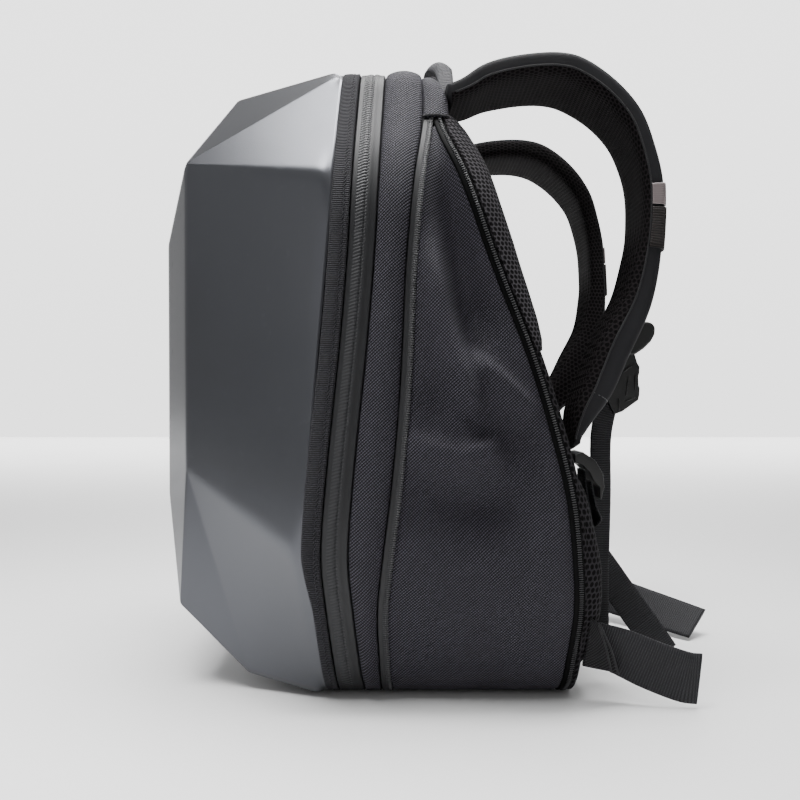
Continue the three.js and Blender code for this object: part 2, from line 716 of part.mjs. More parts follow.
// Bag body, from the shell to the back pads
const zipFrontAt = (z) => rimAt(z) + GAP + BINDING_WIDTH;
const bandFrontAt = (z) => zipFrontAt(z) + GAP + ZIP_WIDTH;
const capBackAt = (z) => backAt(z) - GAP;
addPiece("front_shell", frontShell(), SHELL_GREY);
addPiece(
  "shell_binding",
  outlineBand(LOOP, (z) => rimAt(z) + GAP, (z) => zipFrontAt(z) - GAP, BINDING_SECTION, true),
  TWILL,
);
addPiece(
  "main_zip_tape",
  outlineBand(LOOP, zipFrontAt, (z) => bandFrontAt(z) - GAP, ZIP_SECTION, true),
  COATED_TAPE,
);
addPiece("gusset_band", outlineBand(LOOP, bandFrontAt, bandBackAt, BAND_SECTION, true), TWILL);
addPiece(
  "top_cap",
  outlineBand(upperRun(APEX_Z + GAP), (z) => bandBackAt(z) + GAP, capBackAt, CAP_SECTION),
  TWILL,
);
addPiece(
  "expansion_zip_front",
  outlineBand(lowerRun(APEX_Z), (z) => bandBackAt(z) + GAP, seamAt, TAPE_SECTION),
  COATED_TAPE,
);
addPiece("expansion_gusset", expansionGusset(), TWILL);
addPiece(
  "expansion_zip_rear",
  outlineBand(lowerRun(APEX_Z), (z) => backAt(z) - COIL_WIDTH, backAt, COIL_SECTION),
  COATED_TAPE,
);
addPiece("back_panel", crossPlate(PANEL_ROWS, PANEL_COLUMNS, PANEL_INSET, panelFrontAt), TWILL);
addPiece("back_pad_upper", crossPlate(PAD_UPPER, PAD_COLUMNS, PAD_INSET_UPPER, padFrontAt), SPACER_MESH);
addPiece("back_pad_lower", crossPlate(PAD_LOWER, PAD_COLUMNS, PAD_INSET_LOWER, padFrontAt), SPACER_MESH);
addPiece("carry_handle", webbing(HANDLE, Y_AXIS), WEB_CLOTH);

// Harness, the same on both sides apart from its loose ends
[
  { name: "right", side: 1, tail: ADJUSTER_TAIL_RIGHT, belt: BELT_RIGHT },
  { name: "left", side: -1, tail: ADJUSTER_TAIL_LEFT, belt: BELT_LEFT },
].forEach(({ name, side, tail, belt }) => {
  addPiece(`shoulder_strap_${name}`, shoulderStrap(side), SMOOTH_CLOTH);
  addPiece(`reflective_tab_${name}`, strapKeeper(side, REFLECTIVE_TAB), REFLECTIVE);
  addPiece(`strap_tape_${name}`, strapKeeper(side, STRAP_TAPE), WEB_CLOTH);
  addPiece(`sternum_slider_${name}`, sternumSlider(side), PLASTIC);
  addPiece(`sternum_buckle_${name}`, sternumBuckle(side), PLASTIC);
  addPiece(`ladder_lock_${name}`, ladderLock(side), PLASTIC);
  const adjuster = ADJUSTER.map((row) => ({ ...row, x: row.x * side }));
  addPiece(`adjuster_webbing_${name}`, webbing(adjuster), WEB_CLOTH);
  addPiece(`adjuster_tail_${name}`, webbing(tail), WEB_CLOTH);
  addPiece(`belt_wing_${name}`, beltWing(side), SMOOTH_CLOTH);
  addPiece(`belt_webbing_${name}`, webbing(belt, X_AXIS, BELT_THICKNESS), WEB_CLOTH);
});
addPiece("sternum_tail_right", webbing(STERNUM_TAIL), WEB_CLOTH);

export default bag;
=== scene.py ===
# %% [markdown]
# A hard-shell motorcycle backpack, dressed
# The solids of the bag come in as a fixed frame, in metres, with +Z up and +Y towards the wearer.
# The cells below make the finishes, and then the pieces over those solids: shell, cloth, teeth and buckles.
# The frame is loaded first.

# %% Load the frame
import math

import bmesh
import bpy
import numpy as np
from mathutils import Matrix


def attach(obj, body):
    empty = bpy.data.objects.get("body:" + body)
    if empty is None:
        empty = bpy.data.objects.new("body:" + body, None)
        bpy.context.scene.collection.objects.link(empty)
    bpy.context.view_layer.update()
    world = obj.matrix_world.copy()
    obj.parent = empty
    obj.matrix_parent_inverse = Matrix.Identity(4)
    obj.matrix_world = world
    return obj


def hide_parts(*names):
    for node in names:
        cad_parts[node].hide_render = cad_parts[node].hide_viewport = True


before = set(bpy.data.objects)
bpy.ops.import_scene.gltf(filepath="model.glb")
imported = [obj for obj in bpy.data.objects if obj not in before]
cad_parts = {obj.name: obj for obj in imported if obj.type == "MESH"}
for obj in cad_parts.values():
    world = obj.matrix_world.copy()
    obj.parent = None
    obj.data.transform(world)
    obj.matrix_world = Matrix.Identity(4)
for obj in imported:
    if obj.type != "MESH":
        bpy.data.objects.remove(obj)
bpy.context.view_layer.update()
MM = 0.001
print("solids in the frame:", len(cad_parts))

# %% [markdown]
# Shader maths as plain Python
# A material is a tree of nodes, and wiring sums by hand hides what they say.
# One small class holds a node's output, and Python's own operators add the Math nodes, so that
# a line such as 1 - mask reads as it would on paper. The method node makes every node there is.

# %% The class that wraps a socket
class Wire:
    """One output of a material's node."""

    def __init__(self, tree, socket):
        self.tree = tree
        self.socket = socket

    def node(self, kind, settings=(), sockets=(), output=0):
        """Any node: its settings are set first, then its sockets get values or links."""
        made = self.tree.nodes.new(kind)
        for name, value in dict(settings).items():
            setattr(made, name, value)
        for name, value in dict(sockets).items():
            if isinstance(value, Wire):
                self.tree.links.new(value.socket, made.inputs[name])
            else:
                made.inputs[name].default_value = value
        return Wire(self.tree, made.outputs[output] if made.outputs else None)

    def sibling(self, output):
        """Another output of the same node."""
        return Wire(self.tree, self.socket.node.outputs[output])

    def math(self, operation, first, second=0.0):
        return self.node("ShaderNodeMath", {"operation": operation}, {0: first, 1: second})

    def __add__(self, other):
        return self.math("ADD", self, other)

    def __radd__(self, other):
        return self.math("ADD", other, self)

    def __sub__(self, other):
        return self.math("SUBTRACT", self, other)

    def __rsub__(self, other):
        return self.math("SUBTRACT", other, self)

    def __mul__(self, other):
        return self.math("MULTIPLY", self, other)

    def __rmul__(self, other):
        return self.math("MULTIPLY", other, self)

    def __abs__(self):
        return self.math("ABSOLUTE", self)

    def wave(self, pitch, start=0.0):
        """A sine that repeats once in each pitch; start shifts it by a part of a turn."""
        return self.math("SINE", self * (2 * math.pi / pitch) + 2 * math.pi * start)

    def ramp(self, low, high):
        """From 0 at low to 1 at high, smoothly."""
        settings = {"interpolation_type": "SMOOTHSTEP"}
        return self.node("ShaderNodeMapRange", settings, {"Value": self, "From Min": low, "From Max": high})


print("a wire can:", [name.strip("_") for name, part in vars(Wire).items() if callable(part)])

# %% [markdown]
# A finish in one call
# Every finish on the bag is a Principled shader with a colour that varies, a roughness that varies and
# a small relief. A helper takes those three and sets the fixed numbers straight on the shader, because
# sheen or coat that arrives through a link is lost when the bag is exported.

# %% Start and close a material
def new_finish(name):
    """An empty material and a wire into it from which its other nodes are made."""
    material = bpy.data.materials.new(name)
    material.use_nodes = True
    tree = material.node_tree
    tree.nodes.clear()
    return material, Wire(tree, None)


def colour(value):
    return value if isinstance(value, Wire) else (*value, 1)


def mixed(factor, first, second):
    """A colour between two colours."""
    settings = {"data_type": "RGBA", "clamp_factor": True}
    sockets = {0: factor, 6: colour(first), 7: colour(second)}
    return factor.node("ShaderNodeMix", settings, sockets, output=2)


def close_finish(wire, base, roughness, height=None, relief=1.0, fixed=()):
    """The shader at the end of a material; relief is the height's size in millimetres."""
    sockets = {"Base Color": colour(base), "Roughness": roughness, **dict(fixed)}
    if height is not None:
        bump = {"Height": height, "Distance": relief * MM, "Strength": 1.0}
        sockets["Normal"] = wire.node("ShaderNodeBump", (), bump)
    shader = wire.node("ShaderNodeBsdfPrincipled", (), sockets)
    shader.node("ShaderNodeOutputMaterial", (), {"Surface": shader})


CLOTH_MAP = "cloth"


def cloth_lengths(wire):
    """Millimetres along and across a strip of cloth."""
    place = wire.node("ShaderNodeUVMap", {"uv_map": CLOTH_MAP})
    along = place.node("ShaderNodeSeparateXYZ", (), {0: place})
    return along, along.sibling(1)


def patches(wire, size, detail):
    """Soft cloudy variation, about size millimetres across."""
    coordinates = wire.node("ShaderNodeTexCoord", output="Object")
    sockets = {"Vector": coordinates, "Scale": 1 / (size * MM), "Detail": detail}
    return wire.node("ShaderNodeTexNoise", (), sockets)


print("cloth coordinates are kept in the map named", CLOTH_MAP)

# %% [markdown]
# The moulded shell's finish
# The shell is dark grey plastic with a satin skin: broad soft reflections and a faint grain.
# An image of grain would repeat, so noise in three sizes gives the grain, the clouds and the rubbed spots.

# %% Satin plastic
def satin_shell():
    material, wire = new_finish("satin_shell")
    grain = patches(wire, 0.9, 1.0)
    clouds = patches(wire, 70, 2.0)
    scuffs = patches(wire, 9, 6.0).ramp(0.62, 0.8)
    base = mixed(clouds, (0.009, 0.0094, 0.0105), (0.012, 0.0124, 0.0140))
    base = mixed(scuffs * 0.3, base, (0.030, 0.031, 0.034))
    roughness = 0.27 + clouds * 0.06 + scuffs * 0.08
    fixed = {"Specular IOR Level": 1.0, "Specular Tint": (0.88, 0.905, 1.0, 1)}
    close_finish(wire, base, roughness, grain, 0.035, fixed)
    return material


SATIN_SHELL = satin_shell()
print("made", SATIN_SHELL.name)

# %% [markdown]
# The cloth finishes
# The bands are a diagonal twill, the rim tape is a knit with ribs across it, and the zip tapes are coated
# and nearly smooth. An image of cloth would stretch round the corners, so each weave is made of sine waves
# in millimetres of cloth and follows its strip. A little sheen gives the pale edge that woven cloth shows.

# %% Twill
TWILL_PITCH = 2.5


def twill_cloth(name, dark, light):
    material, wire = new_finish(name)
    along, across = cloth_lengths(wire)
    lines = (along + across).wave(TWILL_PITCH) * 0.5 + 0.5
    floats = (along - across).wave(TWILL_PITCH) * 0.5 + 0.5
    weave = (lines * (0.35 + floats * 0.65)).ramp(0.1, 0.75)
    clouds = patches(wire, 45, 3.0)
    fluff = patches(wire, 3, 2.0)
    base = mixed(weave * (0.6 + fluff * 0.7), dark, light)
    base = mixed(clouds * 0.35, base, dark)
    roughness = 0.66 + fluff * 0.12
    fixed = {"Specular IOR Level": 0.22, "Sheen Weight": 0.03, "Sheen Roughness": 0.4}
    close_finish(wire, base, roughness, weave + fluff * 0.25, 0.5, fixed)
    return material


TWILL = twill_cloth("twill", (0.0010, 0.0009, 0.0015), (0.080, 0.075, 0.100))
WING_TWILL = twill_cloth("wing_twill", (0.0015, 0.0015, 0.0018), (0.022, 0.021, 0.024))
print("twill lines are", TWILL_PITCH, "mm apart")

# %% Knit rim tape, coated zip tape and piping
KNIT_PITCH = 1.5
STITCH_COLUMN = 0.68
COIL_FADE = 0.4
COOL_GREY = (1, 1.02, 1.12)


def knit_tape(width):
    material, wire = new_finish("knit_tape")
    along, across = cloth_lengths(wire)
    ribs = along.wave(KNIT_PITCH) * 0.5 + 0.5
    column = 1 - abs(across * (1 / width) + (1 - STITCH_COLUMN)).ramp(0.03, 0.1)
    zigzag = (along + across * 1.4).wave(KNIT_PITCH * 2) * 0.5 + 0.5
    fluff = patches(wire, 1.6, 2.0)
    knit = ribs * (1 - column) + zigzag * column * 1.2
    base = mixed(knit * (0.3 + fluff), (0.0015, 0.0015, 0.002), (0.036, 0.035, 0.042))
    fixed = {"Specular IOR Level": 0.2, "Sheen Weight": 0.04, "Sheen Roughness": 0.4}
    close_finish(wire, base, 0.75 + fluff * 0.1, knit + fluff * 0.4, 0.6, fixed)
    return material


def coated_tape(name, coil_from, coil_to, pitch, tone, shine=0.3):
    """Coated zip tape of a grey tone, with the ribs of the coil over part of its width."""
    material, wire = new_finish(name)
    along, across = cloth_lengths(wire)
    begun = across.ramp(coil_from - COIL_FADE, coil_from + COIL_FADE)
    inside = begun * (1 - across.ramp(coil_to - COIL_FADE, coil_to + COIL_FADE))
    coil = (along + across * 0.35).wave(pitch) * 0.5 + 0.5
    clouds = patches(wire, 30, 3.0)
    speckle = patches(wire, 0.7, 1.0)
    dark, light, rib = (tuple(tone * share * part for part in COOL_GREY) for share in (0.8, 1.2, 2.1))
    base = mixed(clouds, dark, light)
    base = mixed(coil * inside * 0.7, base, rib)
    roughness = 0.5 + speckle * 0.12
    fixed = {"Specular IOR Level": shine}
    close_finish(wire, base, roughness, coil * inside + speckle * 0.08, 0.3, fixed)
    return material


def plain_cord(name, tone, pitch):
    """Thread or piping, with a twist along it."""
    material, wire = new_finish(name)
    along, across = cloth_lengths(wire)
    twist = (along + across).wave(pitch) * 0.5 + 0.5
    light = tuple(min(1.0, part * 1.9) for part in tone)
    close_finish(wire, mixed(twist, tone, light), 0.75 + twist * 0.1, twist, 0.15)
    return material


ZIP_PITCH = 2.5
TOOTH_PITCH = 1.7
ZIP_WIDTH = 20
BINDING_WIDTH = 12.5
KNIT = knit_tape(BINDING_WIDTH)
MAIN_ZIP = coated_tape("coated_main_zip", 6.5, 14.5, ZIP_PITCH, 0.0125)
FRONT_ZIP = coated_tape("coated_front_zip", 6.5, 10.0, TOOTH_PITCH, 0.0115)
REAR_ZIP = coated_tape("coated_rear_zip", 3.8, 7.4, TOOTH_PITCH, 0.002, shine=0.05)
THREAD = plain_cord("dark_thread", (0.008, 0.008, 0.010), 1.2)
PIPING = plain_cord("cloth_piping", (0.008, 0.008, 0.009), 1.6)
made = (KNIT, MAIN_ZIP, FRONT_ZIP, REAR_ZIP, THREAD, PIPING)
print("made", [material.name for material in made])

# %% [markdown]
# The strap and pad finishes
# The pads and the inside of the straps are a thick open mesh, the outside of the straps is a fine dull cloth,
# and the loose ends are ribbed webbing. Real holes in the mesh would take millions of faces. Three sine waves
# at sixty degrees to one another give the same six-sided holes as dark, sunken spots.

# %% Spacer mesh, strap cloth and webbing
def spacer_mesh(name, pitch, stretch, thread, bottom):
    """Knitted mesh with six-sided holes, drawn out along the strip by stretch."""
    material, wire = new_finish(name)
    along, across = cloth_lengths(wire)
    along = along * (1 / stretch)
    slant = math.sqrt(3) / 2
    crests = along.wave(pitch, 0.25) + (along * 0.5 + across * slant).wave(pitch, 0.25)
    crests = crests + (along * 0.5 - across * slant).wave(pitch, 0.25)
    hole = crests.ramp(-0.95, 0.25)
    fluff = patches(wire, 1.5, 2.0)
    base = mixed(hole, thread, bottom)
    base = mixed(fluff * 0.4, base, tuple(part * 0.35 for part in thread))
    height = (1 - hole) + fluff * 0.2
    close_finish(wire, base, 0.85 + fluff * 0.1, height, 1.1, {"Specular IOR Level": 0.1})
    return material


def fine_cloth(name, dark, light, pitch):
    material, wire = new_finish(name)
    along, across = cloth_lengths(wire)
    weave = along.wave(pitch) * across.wave(pitch) * 0.5 + 0.5
    clouds = patches(wire, 25, 3.0)
    base = mixed(weave * 0.5 + clouds * 0.5, dark, light)
    close_finish(wire, base, 0.65 + clouds * 0.15, weave, 0.12, {"Specular IOR Level": 0.15})
    return material


PICK_PITCH, END_PITCH = 1.9, 2.6  # threads across the webbing and along it


def webbing_cloth(name, dark, light):
    material, wire = new_finish(name)
    along, across = cloth_lengths(wire)
    picks = along.wave(PICK_PITCH)
    ends = across.wave(END_PITCH)
    weave = (picks * 0.7 + picks * ends * 0.35) * 0.5 + 0.5
    clouds = patches(wire, 20, 3.0)
    base = mixed(weave * (0.6 + clouds * 0.5), dark, light)
    close_finish(wire, base, 0.62 + clouds * 0.12, weave, 0.4, {"Specular IOR Level": 0.25})
    return material


MESH = spacer_mesh("strap_mesh", 2.7, 1.35, (0.0150, 0.0125, 0.0135), (0.0003, 0.0003, 0.0003))
PAD_MESH = spacer_mesh("pad_mesh", 2.7, 1.35, (0.062, 0.058, 0.064), (0.0006, 0.0006, 0.0006))
# A darker copy of the pad mesh, worn by the board and the lower pad: painted shade.
SHADED_PAD_MESH = spacer_mesh("shaded_pad_mesh", 3.3, 1.35, (0.028, 0.026, 0.029), (0.0004, 0.0004, 0.0004))
STRAP_CLOTH = fine_cloth("strap_cloth", (0.010, 0.0100, 0.0112), (0.021, 0.0208, 0.0230), 1.1)
WEBBING = webbing_cloth("webbing", (0.002, 0.002, 0.0024), (0.030, 0.030, 0.034))
GREY_WEBBING = webbing_cloth("grey_webbing", (0.014, 0.014, 0.016), (0.072, 0.070, 0.078))
BROWN_TAPE = webbing_cloth("brown_tape", (0.004, 0.003, 0.003), (0.022, 0.017, 0.016))
made = (MESH, PAD_MESH, SHADED_PAD_MESH, STRAP_CLOTH, WEBBING, GREY_WEBBING, BROWN_TAPE)
print("made", [material.name for material in made])

# %% [markdown]
# The small plastics
# The tab on each strap is reflective tape, pressed into small cells. The buckles are dull black plastic,
# rubbed a little paler in places, and the zip teeth are dark grey. Such small things need no more than a
# slight change of tone over the surface, so that no two spots look exactly alike.

# %% Reflective tape, buckle plastic and zip teeth
CELL_PITCH = 1.6


def reflective_tape():
    material, wire = new_finish("reflective_tape")
    along, across = cloth_lengths(wire)
    cells = along.wave(CELL_PITCH) * across.wave(CELL_PITCH) * 0.5 + 0.5
    base = mixed(cells, (0.15, 0.125, 0.125), (0.21, 0.18, 0.18))
    close_finish(wire, base, 0.42 + cells * 0.1, cells, 0.08)
    return material


def buckle_plastic():
    material, wire = new_finish("buckle_plastic")
    grain = patches(wire, 0.6, 1.0)
    rub = patches(wire, 6, 5.0).ramp(0.55, 0.75)
    base = mixed(rub, (0.004, 0.004, 0.004), (0.010, 0.0098, 0.0095))
    close_finish(wire, base, 0.42 + grain * 0.12, grain, 0.05)
    return material


def tooth_plastic(name, dark, light):
    material, wire = new_finish(name)
    shade = patches(wire, 14, 2.0)
    close_finish(wire, mixed(shade, dark, light), 0.35 + shade * 0.1)
    return material


REFLECTIVE = reflective_tape()
BUCKLE_PLASTIC = buckle_plastic()
TOOTH = tooth_plastic("tooth_plastic", (0.030, 0.030, 0.033), (0.055, 0.055, 0.058))
PALE_TOOTH = tooth_plastic("pale_tooth", (0.018, 0.018, 0.020), (0.034, 0.034, 0.037))
print("made", [material.name for material in (REFLECTIVE, BUCKLE_PLASTIC, TOOTH, PALE_TOOTH)])

# %% [markdown]
# The bag's outline and edges
# Seen from the front, the bag is a rounded eight-sided figure, and every band follows it.
# Cloth could be shrunk on to the solids, but it would take on their coarse steps.
# Seen from the side, three edges run from top to bottom: the shell's rim, the front seam of the
# expansion wedge and the back. Both are short tables in millimetres, the same ones as the solids use,
# so cloth made from them lies on the solids. Here they are sampled much more finely.

# %% Outline and profile tables
BAG_HEIGHT = 486
OUTLINE = [  # corner, half width, height, rounding
    ("crown", 97, BAG_HEIGHT, 22),
    ("shoulder", 150, 389, 34),
    ("hip", 155, 112, 40),
    ("foot", 118, 0, 26),
]
PROFILE_Z = np.array([0, 30, 70, 112, 160, 212, 260, 325, 389, 438, BAG_HEIGHT], float)
RIM = np.array([-99, -103, -107, -110, -107, -102, -97, -91.5, -88, -86, -84], float)
SEAM = np.array([-46, -48, -49, -45, -39, -34, -31, -28, -22, -15.5, -15], float)
BACK = np.array([88, 91, 94, 91, 85, 72, 57, 32, 10, -8, -5], float)
CORNER_STEPS = 13


def edge_at(values):
    """A smooth curve through a profile column, as a function of height."""
    def evaluate(z):
        z = np.clip(np.asarray(z, float), 0, BAG_HEIGHT)
        k = np.clip(np.searchsorted(PROFILE_Z, z, side="right"), 1, len(PROFILE_Z) - 1)
        before, after = np.maximum(k - 2, 0), np.minimum(k + 1, len(PROFILE_Z) - 1)
        span = PROFILE_Z[k] - PROFILE_Z[k - 1]
        slope = np.diff(values)[k - 1]
        lead = (values[k] - values[before]) / (PROFILE_Z[k] - PROFILE_Z[before]) * span
        trail = (values[after] - values[k - 1]) / (PROFILE_Z[after] - PROFILE_Z[k - 1]) * span
        t = (z - PROFILE_Z[k - 1]) / span
        start = values[k - 1] + t * lead + t**2 * (3 * slope - 2 * lead - trail)
        return start + t**3 * (lead + trail - 2 * slope)
    return evaluate


rim_at, seam_at, back_at = edge_at(RIM), edge_at(SEAM), edge_at(BACK)
LEAN_FROM, LEAN = 450, 11


def smooth_step(t):
    """From 0 to 1, level at both ends."""
    t = np.clip(t, 0, 1)
    return t**2 * (3 - 2 * t)


def back_top(z):
    """The back edge, rounded forward at the top."""
    return back_at(z) - LEAN * smooth_step((np.asarray(z, float) - LEAN_FROM) / (BAG_HEIGHT - LEAN_FROM))


def outline_corners(rounding=1.0):
    """The rounded outline from the middle of the top, clockwise seen from the front, closed."""
    right = [(x, z, fillet * rounding) for _, x, z, fillet in OUTLINE]
    corners = right + [(-x, z, fillet) for x, z, fillet in reversed(right)]
    line = [np.array([0.0, BAG_HEIGHT])]
    for i, (x, z, fillet) in enumerate(corners):
        at = np.array([x, z], float)
        ends = []
        for other in (corners[i - 1], corners[(i + 1) % len(corners)]):
            way = np.array(other[:2], float) - at
            ends.append(at + way * fillet / np.linalg.norm(way))
        for t in np.linspace(0, 1, CORNER_STEPS):
            line.append((1 - t)**2 * ends[0] + 2 * t * (1 - t) * at + t**2 * ends[1])
    return np.array(line + [line[0]])


def walked(points):
    """How far along a line of points each of them lies."""
    return np.concatenate([[0], np.cumsum(np.linalg.norm(np.diff(points, axis=0), axis=1))])


OUTLINE_LINE = outline_corners()
print("outline is", round(float(walked(OUTLINE_LINE)[-1])), "mm round")

# %% Runs along the outline
UNDER_FROM, UNDER_TO = 0.2, 0.9  # how far a face looks down where standing out fades and ends


class Run:
    """Evenly spaced places along part of the outline, with the way out of the bag at each."""

    def __init__(self, line, step, ring):
        lengths = walked(line)
        count = max(4, int(round(lengths[-1] / step)))
        self.along = np.linspace(0, lengths[-1], count + 1)
        self.ring = ring
        self.x, self.z = (np.interp(self.along, lengths, line[:, k]) for k in (0, 1))
        if ring:
            self.along, self.x, self.z = self.along[:-1], self.x[:-1], self.z[:-1]
            dx = np.roll(self.x, -1) - np.roll(self.x, 1)
            dz = np.roll(self.z, -1) - np.roll(self.z, 1)
        else:
            dx, dz = np.gradient(self.x), np.gradient(self.z)
        size = np.hypot(dx, dz)
        self.out_x, self.out_z = -dz / size, dx / size
        self.proud = 1 - smooth_step((-self.out_z - UNDER_FROM) / (UNDER_TO - UNDER_FROM))

    def beside(self, y, out):
        """Points at a depth y and a distance out; nothing stands out under the base."""
        out = np.where(out > 0, out * self.proud[:, None], out)
        x = self.x[:, None] + self.out_x[:, None] * out
        z = self.z[:, None] + self.out_z[:, None] * out
        return np.stack([x, y + 0 * out, z], axis=2)


def whole_run(step):
    """All round, from the middle of the base, so that the join is out of sight."""
    half = len(OUTLINE_LINE) // 2
    base = np.array([[0.0, 0.0]])
    left, right = OUTLINE_LINE[half:-1], OUTLINE_LINE[:half]
    return Run(np.concatenate([base, left, right, base]), step, True)


def cut_line(height, upper):
    """The part of the outline below a height, right to left, or the part above it, left to right."""
    line = OUTLINE_LINE if not upper else np.roll(OUTLINE_LINE[:-1], len(OUTLINE_LINE) // 2, axis=0)
    inside = (line[:, 1] > height) if upper else (line[:, 1] < height)
    first, last = np.flatnonzero(inside)[[0, -1]]
    ends = []
    for a, b in ((first - 1, first), (last + 1, last)):
        t = (height - line[a, 1]) / (line[b, 1] - line[a, 1])
        ends.append(line[a] + t * (line[b] - line[a]))
    return np.concatenate([ends[:1], line[first:last + 1], ends[1:]])


print("a run all round in steps of 5 mm has", len(whole_run(5).z), "places")

# %% [markdown]
# From grids of points to closed cloth
# A strip of cloth is a grid of points for its outer face and one for its inner face.
# A plane thickened by a modifier would do for flat cloth, but here both faces have shapes of their own.
# The helper joins the two grids, closes the rims, and stores the millimetres along and across as the
# cloth's own map. Working with arrays keeps tens of thousands of faces quick to make.

# %% Closed walls
def add_piece(name, points, faces, lengths, material):
    """A mesh object from points in millimetres; lengths are the cloth coordinates of the points."""
    mesh = bpy.data.meshes.new(name)
    mesh.from_pydata((np.asarray(points) * MM).tolist(), [], [list(map(int, face)) for face in faces])
    places = mesh.uv_layers.new(name=CLOTH_MAP)
    corner = np.zeros(len(mesh.loops), np.int32)
    mesh.loops.foreach_get("vertex_index", corner)
    places.data.foreach_set("uv", np.asarray(lengths, np.float32)[corner].ravel())
    mesh.polygons.foreach_set("use_smooth", [True] * len(mesh.polygons))
    mesh.validate()
    piece = bpy.data.objects.new(name, mesh)
    bpy.context.scene.collection.objects.link(piece)
    mesh.materials.append(material)
    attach(piece, "root")
    print(f"{name}: {len(mesh.polygons)} faces")
    return piece


def grid_faces(rows, columns, start=0, ring=False, flip=False):
    """Four-sided faces over a grid of points."""
    i = np.arange(rows if ring else rows - 1)[:, None]
    j = np.arange(columns - 1)[None, :]
    here, below = i * columns + j, (i + 1) % rows * columns + j
    quads = np.stack([here, below, below + 1, here + 1], axis=2).reshape(-1, 4) + start
    return quads[:, ::-1] if flip else quads


def wall(name, outer, inner, along, across, material, slot, ring=False):
    """A closed strip between an outer and an inner grid of points."""
    rows, columns = outer.shape[:2]
    size = rows * columns
    faces = [grid_faces(rows, columns, 0, ring), grid_faces(rows, columns, size, ring, flip=True)]
    i = np.arange(rows if ring else rows - 1)
    below = (i + 1) % rows
    for edge, turned in ((0, False), (columns - 1, True)):
        a, b = i * columns + edge, below * columns + edge
        rim = np.stack([a, a + size, b + size, b], axis=1)
        faces.append(rim[:, ::-1] if turned else rim)
    if not ring:
        j = np.arange(columns - 1)
        for row, turned in ((0, False), (rows - 1, True)):
            a, b = row * columns + j, row * columns + j + 1
            rim = np.stack([a, b, b + size, a + size], axis=1)
            faces.append(rim[:, ::-1] if turned else rim)
    lengths = np.stack(np.broadcast_arrays(along[:, None], across), axis=2).reshape(-1, 2)
    points = np.concatenate([outer.reshape(-1, 3), inner.reshape(-1, 3)])
    faces = outward(points, np.concatenate(faces))
    return add_piece(name, points, faces, np.concatenate([lengths, lengths]), material)


def outward(points, faces):
    """The faces, turned so that they enclose a positive volume."""
    a, b, c, d = (points[faces[:, k]] for k in range(4))
    volume = (a * np.cross(b, c)).sum() + (a * np.cross(c, d)).sum()
    return faces if volume > 0 else faces[:, ::-1]


def outline_band(name, run, front, back, outer, inner, columns, material, slot, zero=0):
    """A strip along the outline between two edges; outer and inner say how far its faces stand out."""
    t = np.linspace(0, 1, columns)
    first, last = front(run.z)[:, None], back(run.z)[:, None]
    y = first + (last - first) * t
    across = (last - first) * (t - zero)
    rows = run.along[:, None]
    faces = [run.beside(y, height(t[None, :], rows) + 0 * y) for height in (outer, inner)]
    return wall(name, *faces, run.along, across, material, slot, run.ring)


print("walls, bands and their cloth maps are ready")

# %% [markdown]
# The moulded shell
# The shell is a faceted moulding: flat faces near its front corners that melt into the round rim.
# It could be carved from a block with bevels, but then the creases would not fade. A patch stretched between
# four edges (a Coons patch) does this by itself: its front edges are straight and its rear edge is a piece of
# the rim, so a crease is sharp at the front and fades towards the tape. Smoothing a few times rounds the
# creases as a mould does, and a solid wall is grown inwards.

# %% Corners, edges and patches
SHELL_WALL = 3
SHELL_CORNERS = {
    "roof": (34, -180, 485.5), "brow": (95, -209, 412), "chest": (50, -236, 357), "belly": (50, -235, 147),
    "flank": (95, -208, 171), "chin": (88, -215, 64), "sole": (100, -158, 13),
}
LONG, TALL, SHORT, THIN = 48, 64, 36, 18  # steps from front to rim, up a side, over a slope, beside the front


def straight(a, b, steps):
    t = np.linspace(0, 1, steps + 1)[:, None]
    return np.array(a, float) * (1 - t) + np.array(b, float) * t


def resampled(line, steps):
    lengths = walked(line)
    at = np.linspace(0, lengths[-1], steps + 1)
    return np.stack([np.interp(at, lengths, line[:, k]) for k in range(3)], axis=1)


CREASED_LINE = outline_corners(0.2)  # nearly sharp corners, where the facets aim
RIM_BLEND = 6
HIP_Z, LOW_REACH, LOW_SHIFT = 112, 40, 4.5


def shell_end(z):
    """Where the shell meets its tape: further back below the hip, where the tape narrows."""
    return rim_at(z) + LOW_SHIFT * np.clip((HIP_Z - z) / LOW_REACH, 0, 1)


def at_rim(line, steps):
    return resampled(np.stack([line[:, 0], shell_end(line[:, 1]), line[:, 1]], axis=1), steps)


def rim_piece(line, first, last, steps):
    """The rim between the middles of two corners, counted from the right crown down."""
    start, end = (1 + CORNER_STEPS * k + CORNER_STEPS // 2 for k in (first, last))
    return at_rim(line[start:end + 1], steps)


def patch(c0, c1, d0, d1, rim=None):
    """A surface between two pairs of facing edges; a creased rim d1 bends in to the round one."""
    u = np.linspace(0, 1, len(c0))[:, None, None]
    v = np.linspace(0, 1, len(d0))[None, :, None]
    ruled = (1 - v) * c0[:, None] + v * c1[:, None] + (1 - u) * d0[None] + u * d1[None]
    grid = ruled - (1 - u) * ((1 - v) * c0[0] + v * c1[0]) - u * ((1 - v) * c0[-1] + v * c1[-1])
    if rim is not None:
        away = np.linalg.norm(grid - d1[None], axis=2)[..., None]
        grid = grid + np.exp(-(away / RIM_BLEND)**2) * (rim - d1)[None]
    return grid


def shell_rims(line):
    """The rim in five pieces: over the top, beside the upper, side and lower facets, and under the base."""
    half = line[:2 + CORNER_STEPS // 2]
    over = np.concatenate([half[::-1] * np.array([-1, 1]), half[1:]])
    pieces = [at_rim(over, TALL), rim_piece(line, 0, 1, TALL), rim_piece(line, 1, 2, TALL)]
    return pieces + [rim_piece(line, 2, 3, SHORT), rim_piece(line, 3, 4, TALL)[::-1]]


MIRROR = np.array([-1.0, 1.0, 1.0])


